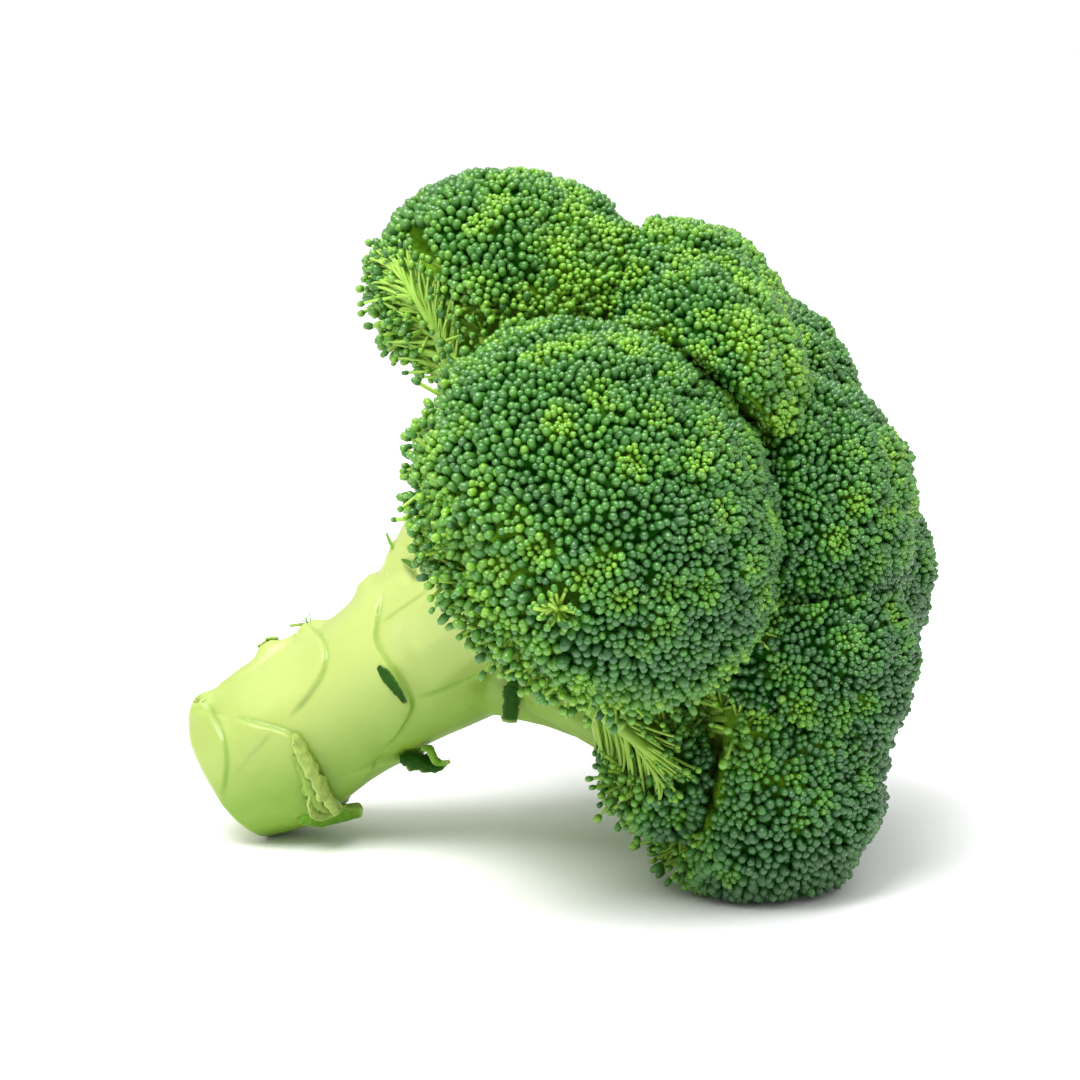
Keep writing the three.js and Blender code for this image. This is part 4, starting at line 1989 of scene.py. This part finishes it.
@dataclass(frozen=True)
class Blade:
    """A torn strip of leaf along points of height, direction and distance from the stalk's axis.

    tone is 0 for a dark blade, 0.5 for green flesh and 1 for dry fibres. stand turns the strip from lying on
    the stalk to standing out from it, curl bows it across, ragged tears its sides, and tip is its end's share
    of the full width.
    """

    node: str
    name: str
    points: tuple[tuple[float, float, float], ...]
    width: float
    thick: float = 0.5
    stand: float = 0.0
    curl: float = 0.3
    ragged: float = 0.1
    tip: float = 0.25
    tone: float = 0.0

    along_count = 26
    across_count = 9

    def path(self, shares: np.ndarray) -> np.ndarray:
        """Follows the strip's middle line.

        Args:
            shares: Places along it, from 0 to 1.

        Returns:
            The points there as rows, in plant millimetres.
        """
        height, turn, radius = np.array(self.points, float).T
        turn = np.radians(turn)
        corners = np.stack([radius * np.cos(turn), radius * np.sin(turn), height], axis=1)
        places = np.linspace(0, 1, len(corners))
        fits = [np.polyval(np.polyfit(places, part, len(corners) - 1), shares) for part in corners.T]
        return np.stack(fits, axis=1)

    def _surface(self, shares: np.ndarray, offsets: np.ndarray, draws: np.random.Generator) -> np.ndarray:
        """Lays out the strip's middle surface.

        Args:
            shares: Places along it, from 0 to 1.
            offsets: Places across it, from -1 to 1.
            draws: Source of random draws.

        Returns:
            Its points, row after row across it, in plant millimetres.
        """
        path = self.path(shares)
        along = unit(np.gradient(path, axis=0))
        side = unit(np.cross(along, unit(path * np.array([1.0, 1.0, 0.0]))))
        angle = math.radians(self.stand)
        across = side * math.cos(angle) + np.cross(side, along) * math.sin(angle)
        normal = np.cross(along, across)
        narrowed = self.tip + (1 - self.tip) * (1 - shares**2.5)
        half = self.width / 2 * smoothstep(-0.25, 0.35, shares)[:, None] * narrowed[:, None]
        torn = 1 + self.ragged * draws.normal(size=(len(shares), 2))
        sideways = half * offsets * np.where(offsets < 0, torn[:, :1], torn[:, 1:])
        bowed = half * offsets**2 * self.curl
        points = path[:, None] + sideways[..., None] * across[:, None] + bowed[..., None] * normal[:, None]
        return points.reshape(-1, 3)

    def build(self, layout: Layout, seed: int) -> bpy.types.Object:
        """Makes the strip.

        Args:
            layout: How the plant lies.
            seed: Seed of its random draws.

        Returns:
            The piece.
        """
        shares, offsets = np.linspace(0, 1, self.along_count), np.linspace(-1, 1, self.across_count)
        bm = bmesh.new()
        bmesh.ops.create_grid(bm, x_segments=self.across_count - 1, y_segments=self.along_count - 1, size=1.0)
        sheet = object_from_bmesh(f"{self.name}_sheet", bm)
        points = self._surface(shares, offsets, np.random.default_rng(seed))
        write_points(sheet.data, layout.to_frame(points))
        rims = np.tile(smoothstep(0.7, 1.0, np.abs(offsets)), self.along_count)
        ends = np.repeat(smoothstep(0.9, 1.0, shares), self.across_count)
        write_attribute(sheet.data, "edge", np.maximum(rims, ends) * 0.8)
        write_attribute(sheet.data, "tone", np.full(len(rims), self.tone))
        solid = sheet.modifiers.new("thickness", "SOLIDIFY")
        solid.thickness = self.thick * MM
        solid.offset = 0.0
        rounder = sheet.modifiers.new("rounding", "SUBSURF")
        rounder.levels = 1
        return baked(self.name, sheet)


BLADES = (
    Blade(
        "leaf_sliver_base",
        "horn",
        ((11.5, -38, 17.2), (14, -22, 17.8), (16.6, -10, 18.8), (19.8, -2, 20.4)),
        4.8,
        thick=2.4,
        stand=25,
        tip=0.5,
        tone=0.45,
    ),
    Blade(
        "leaf_sliver_base",
        "torn_rim",
        ((23.0, -94, 17.4), (22.8, -74, 18.6), (21.0, -50, 19.6), (18.6, -22, 18.8)),
        3.8,
        stand=55,
        curl=0.7,
        ragged=0.3,
        tip=0.8,
        tone=0.9,
    ),
    Blade(
        "leaf_sliver_base",
        "torn_fold",
        ((20.2, -82, 18.2), (19.0, -62, 19.2), (17.0, -46, 19.4), (17.2, -24, 18.8)),
        3.4,
        stand=-10,
        curl=0.8,
        ragged=0.35,
        tip=0.6,
        tone=0.75,
    ),
    Blade(
        "leaf_sliver_base",
        "torn_loop",
        ((18.4, -56, 19.3), (15.6, -44, 19.6), (15.4, -33, 19.4), (17.6, -26, 19.0)),
        1.8,
        thick=0.6,
        stand=50,
        ragged=0.2,
        tip=0.8,
        tone=0.85,
    ),
    Blade(
        "leaf_sliver_tail",
        "tuft",
        ((19.6, -187, 17.6), (22.0, -185, 19.2), (24.6, -183, 18.6)),
        2.6,
        stand=40,
        ragged=0.3,
        tone=0.4,
    ),
    Blade(
        "leaf_sliver_tail",
        "spike",
        ((32.0, -181, 17.4), (30.4, -181, 18.4), (28.4, -181, 19.3)),
        0.8,
        thick=0.6,
        ragged=0.0,
        tone=0.6,
    ),
    Blade(
        "leaf_sliver_lower",
        "curled_leaf",
        ((35.5, -30, 17.4), (37.6, -20, 18.6), (38.8, -10, 20.6), (40.6, -6, 21.4)),
        4.2,
        thick=0.6,
        stand=50,
        curl=0.9,
        ragged=0.15,
        tip=0.5,
    ),
    Blade(
        "leaf_sliver_lower",
        "curled_edge",
        ((40.0, -26, 17.4), (41.0, -17, 18.6), (40.2, -11, 20.4), (42.2, -8, 21.6)),
        1.9,
        thick=0.6,
        stand=30,
        curl=0.8,
        tip=0.5,
        tone=0.5,
    ),
    Blade(
        "leaf_sliver_front",
        "lodged_leaf",
        ((45.4, -101, 17.9), (46.2, -86, 18.7), (45.8, -71, 18.3)),
        3.0,
        stand=-12,
        curl=0.4,
        tip=0.15,
    ),
    Blade(
        "leaf_sliver_neck",
        "hanging_leaf",
        ((66.5, -50, 20.4), (64.2, -45, 23.0), (61.0, -38, 25.4)),
        3.8,
        stand=-25,
        curl=0.35,
        tip=0.85,
    ),
    Blade(
        "leaf_sliver_neck",
        "tiny_leaf",
        ((58.6, -160, 19.6), (60, -150, 20.0), (61.4, -139, 20.2)),
        1.6,
        stand=30,
        tip=0.3,
        tone=0.15,
    ),
    Blade(
        "leaf_sliver_neck",
        "tendril",
        ((57.1, -177, 24.4), (57.5, -168, 21.6), (58.8, -158, 19.8)),
        0.6,
        ragged=0.0,
        tip=0.9,
        tone=0.5,
    ),
)


@dataclass(frozen=True)
class Fibres:
    """Thin threads that stick out of the torn places.

    start and end are the ends of their row, each a height, a direction and a distance from the stalk's axis.
    """

    node: str
    name: str
    start: tuple[float, float, float]
    end: tuple[float, float, float]
    count: int
    reach: float = 1.8
    thread: float = 0.16
    tone: float = 0.9

    steps = 4

    def build(self, layout: Layout, seed: int) -> bpy.types.Object:
        """Makes the threads.

        Args:
            layout: How the plant lies.
            seed: Seed of their random draws.

        Returns:
            The piece.
        """
        draws = np.random.default_rng(seed)
        share = draws.random(self.count)[:, None]
        places = np.array(self.start) * (1 - share) + np.array(self.end) * share
        turn = np.radians(places[:, 1])
        outward = np.stack([np.cos(turn), np.sin(turn), np.zeros(self.count)], axis=1)
        feet = outward * places[:, 2:] + np.array([0.0, 0.0, 1.0]) * places[:, :1]
        ways = unit(outward + draws.normal(0, 0.7, (self.count, 3)))
        tips = feet + ways * draws.uniform(0.5, 1.0, self.count)[:, None] * self.reach
        bends = (feet + tips) / 2 + draws.normal(0, 0.2 * self.reach, (self.count, 3))
        paths = [layout.to_frame(curved_path(*ends, self.steps)) for ends in zip(feet, bends, tips)]
        radii = np.linspace(self.thread, self.thread * 0.4, self.steps + 1)
        piece = tubes(self.name, paths, [radii] * self.count)
        write_attribute(piece.data, "tone", np.full(len(piece.data.vertices), self.tone))
        return piece


FIBRES = (
    Fibres("leaf_sliver_base", "rim_fibres", (22.8, -90, 17.8), (19.0, -25, 18.8), 46),
    Fibres("leaf_sliver_tail", "knob_fibres", (31.0, -183, 17.0), (32.5, -179, 17.2), 9, 3.4, tone=0.5),
    Fibres("leaf_sliver_tail", "end_fibres", (3.8, -166, 17.0), (7.0, -154, 17.4), 26, 1.3, thread=0.2),
)


# The whole head


class Head:
    """Builds the whole head of broccoli."""

    def __init__(self, frame: dict) -> None:
        """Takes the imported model.
        """
        self.nodes = frame["nodes"]
        self.layout = Layout()

    def finish_piece(self, piece: bpy.types.Object, finish: Finish, node: str) -> None:
        """Dresses a piece, ties it to the frame and reports it.

        Args:
            piece: The piece.
            finish: Its material.
            node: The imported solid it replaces.
        """
        finish.dress(piece)
        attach(piece, "root")
        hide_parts(node)
        LOG.info("%s: %d faces", piece.name, len(piece.data.polygons))

    def build_florets(self) -> None:
        """Makes every floret."""
        bud, core, stem = BudFinish().make(), CoreFinish().make(), StemFinish().make()
        templates = {age: bud_template(age) for age in BudAge}
        for seed, floret in enumerate(FLORETS):
            builder = FloretBuilder(floret, self.layout, seed)
            sites = builder.face_sites()
            if floret.outer:
                nodes, axes = builder.fan_nodes()
                fan, feet = builder.fan_buds(nodes, axes)
                *more, gap_buds = builder.lay_sprays()
                self.finish_piece(builder.build_stems(nodes, fan, feet, more), stem, floret.name)
                sites = sites.joined(fan).joined(gap_buds)
            LOG.info("%s: %d buds", floret.name, len(sites.spans))
            for age, template in templates.items():
                self.finish_piece(builder.build_buds(sites, age, template), bud, floret.name)
            self.finish_piece(builder.build_core(), core, floret.name)
        for template in templates.values():
            bpy.data.objects.remove(template)

    def build_stalk(self) -> None:
        """Makes the stalk and the slivers of leaf on it."""
        skin, leaf = StalkFinish().make(), LeafFinish().make()
        self.finish_piece(Stalk(self.layout).build(self.nodes["stalk"]), skin, "stalk")
        for seed, part in enumerate((*BLADES, *FIBRES)):
            self.finish_piece(part.build(self.layout, seed), leaf, part.node)


def main() -> None:
    """Builds the scene."""
    logging.basicConfig(level=logging.INFO, format="%(message)s")
    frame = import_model()
    head = Head(frame)
    Viewpoint().place(head.layout)
    Studio().build()
    head.build_florets()
    head.build_stalk()


if __name__ == "__main__":
    main()
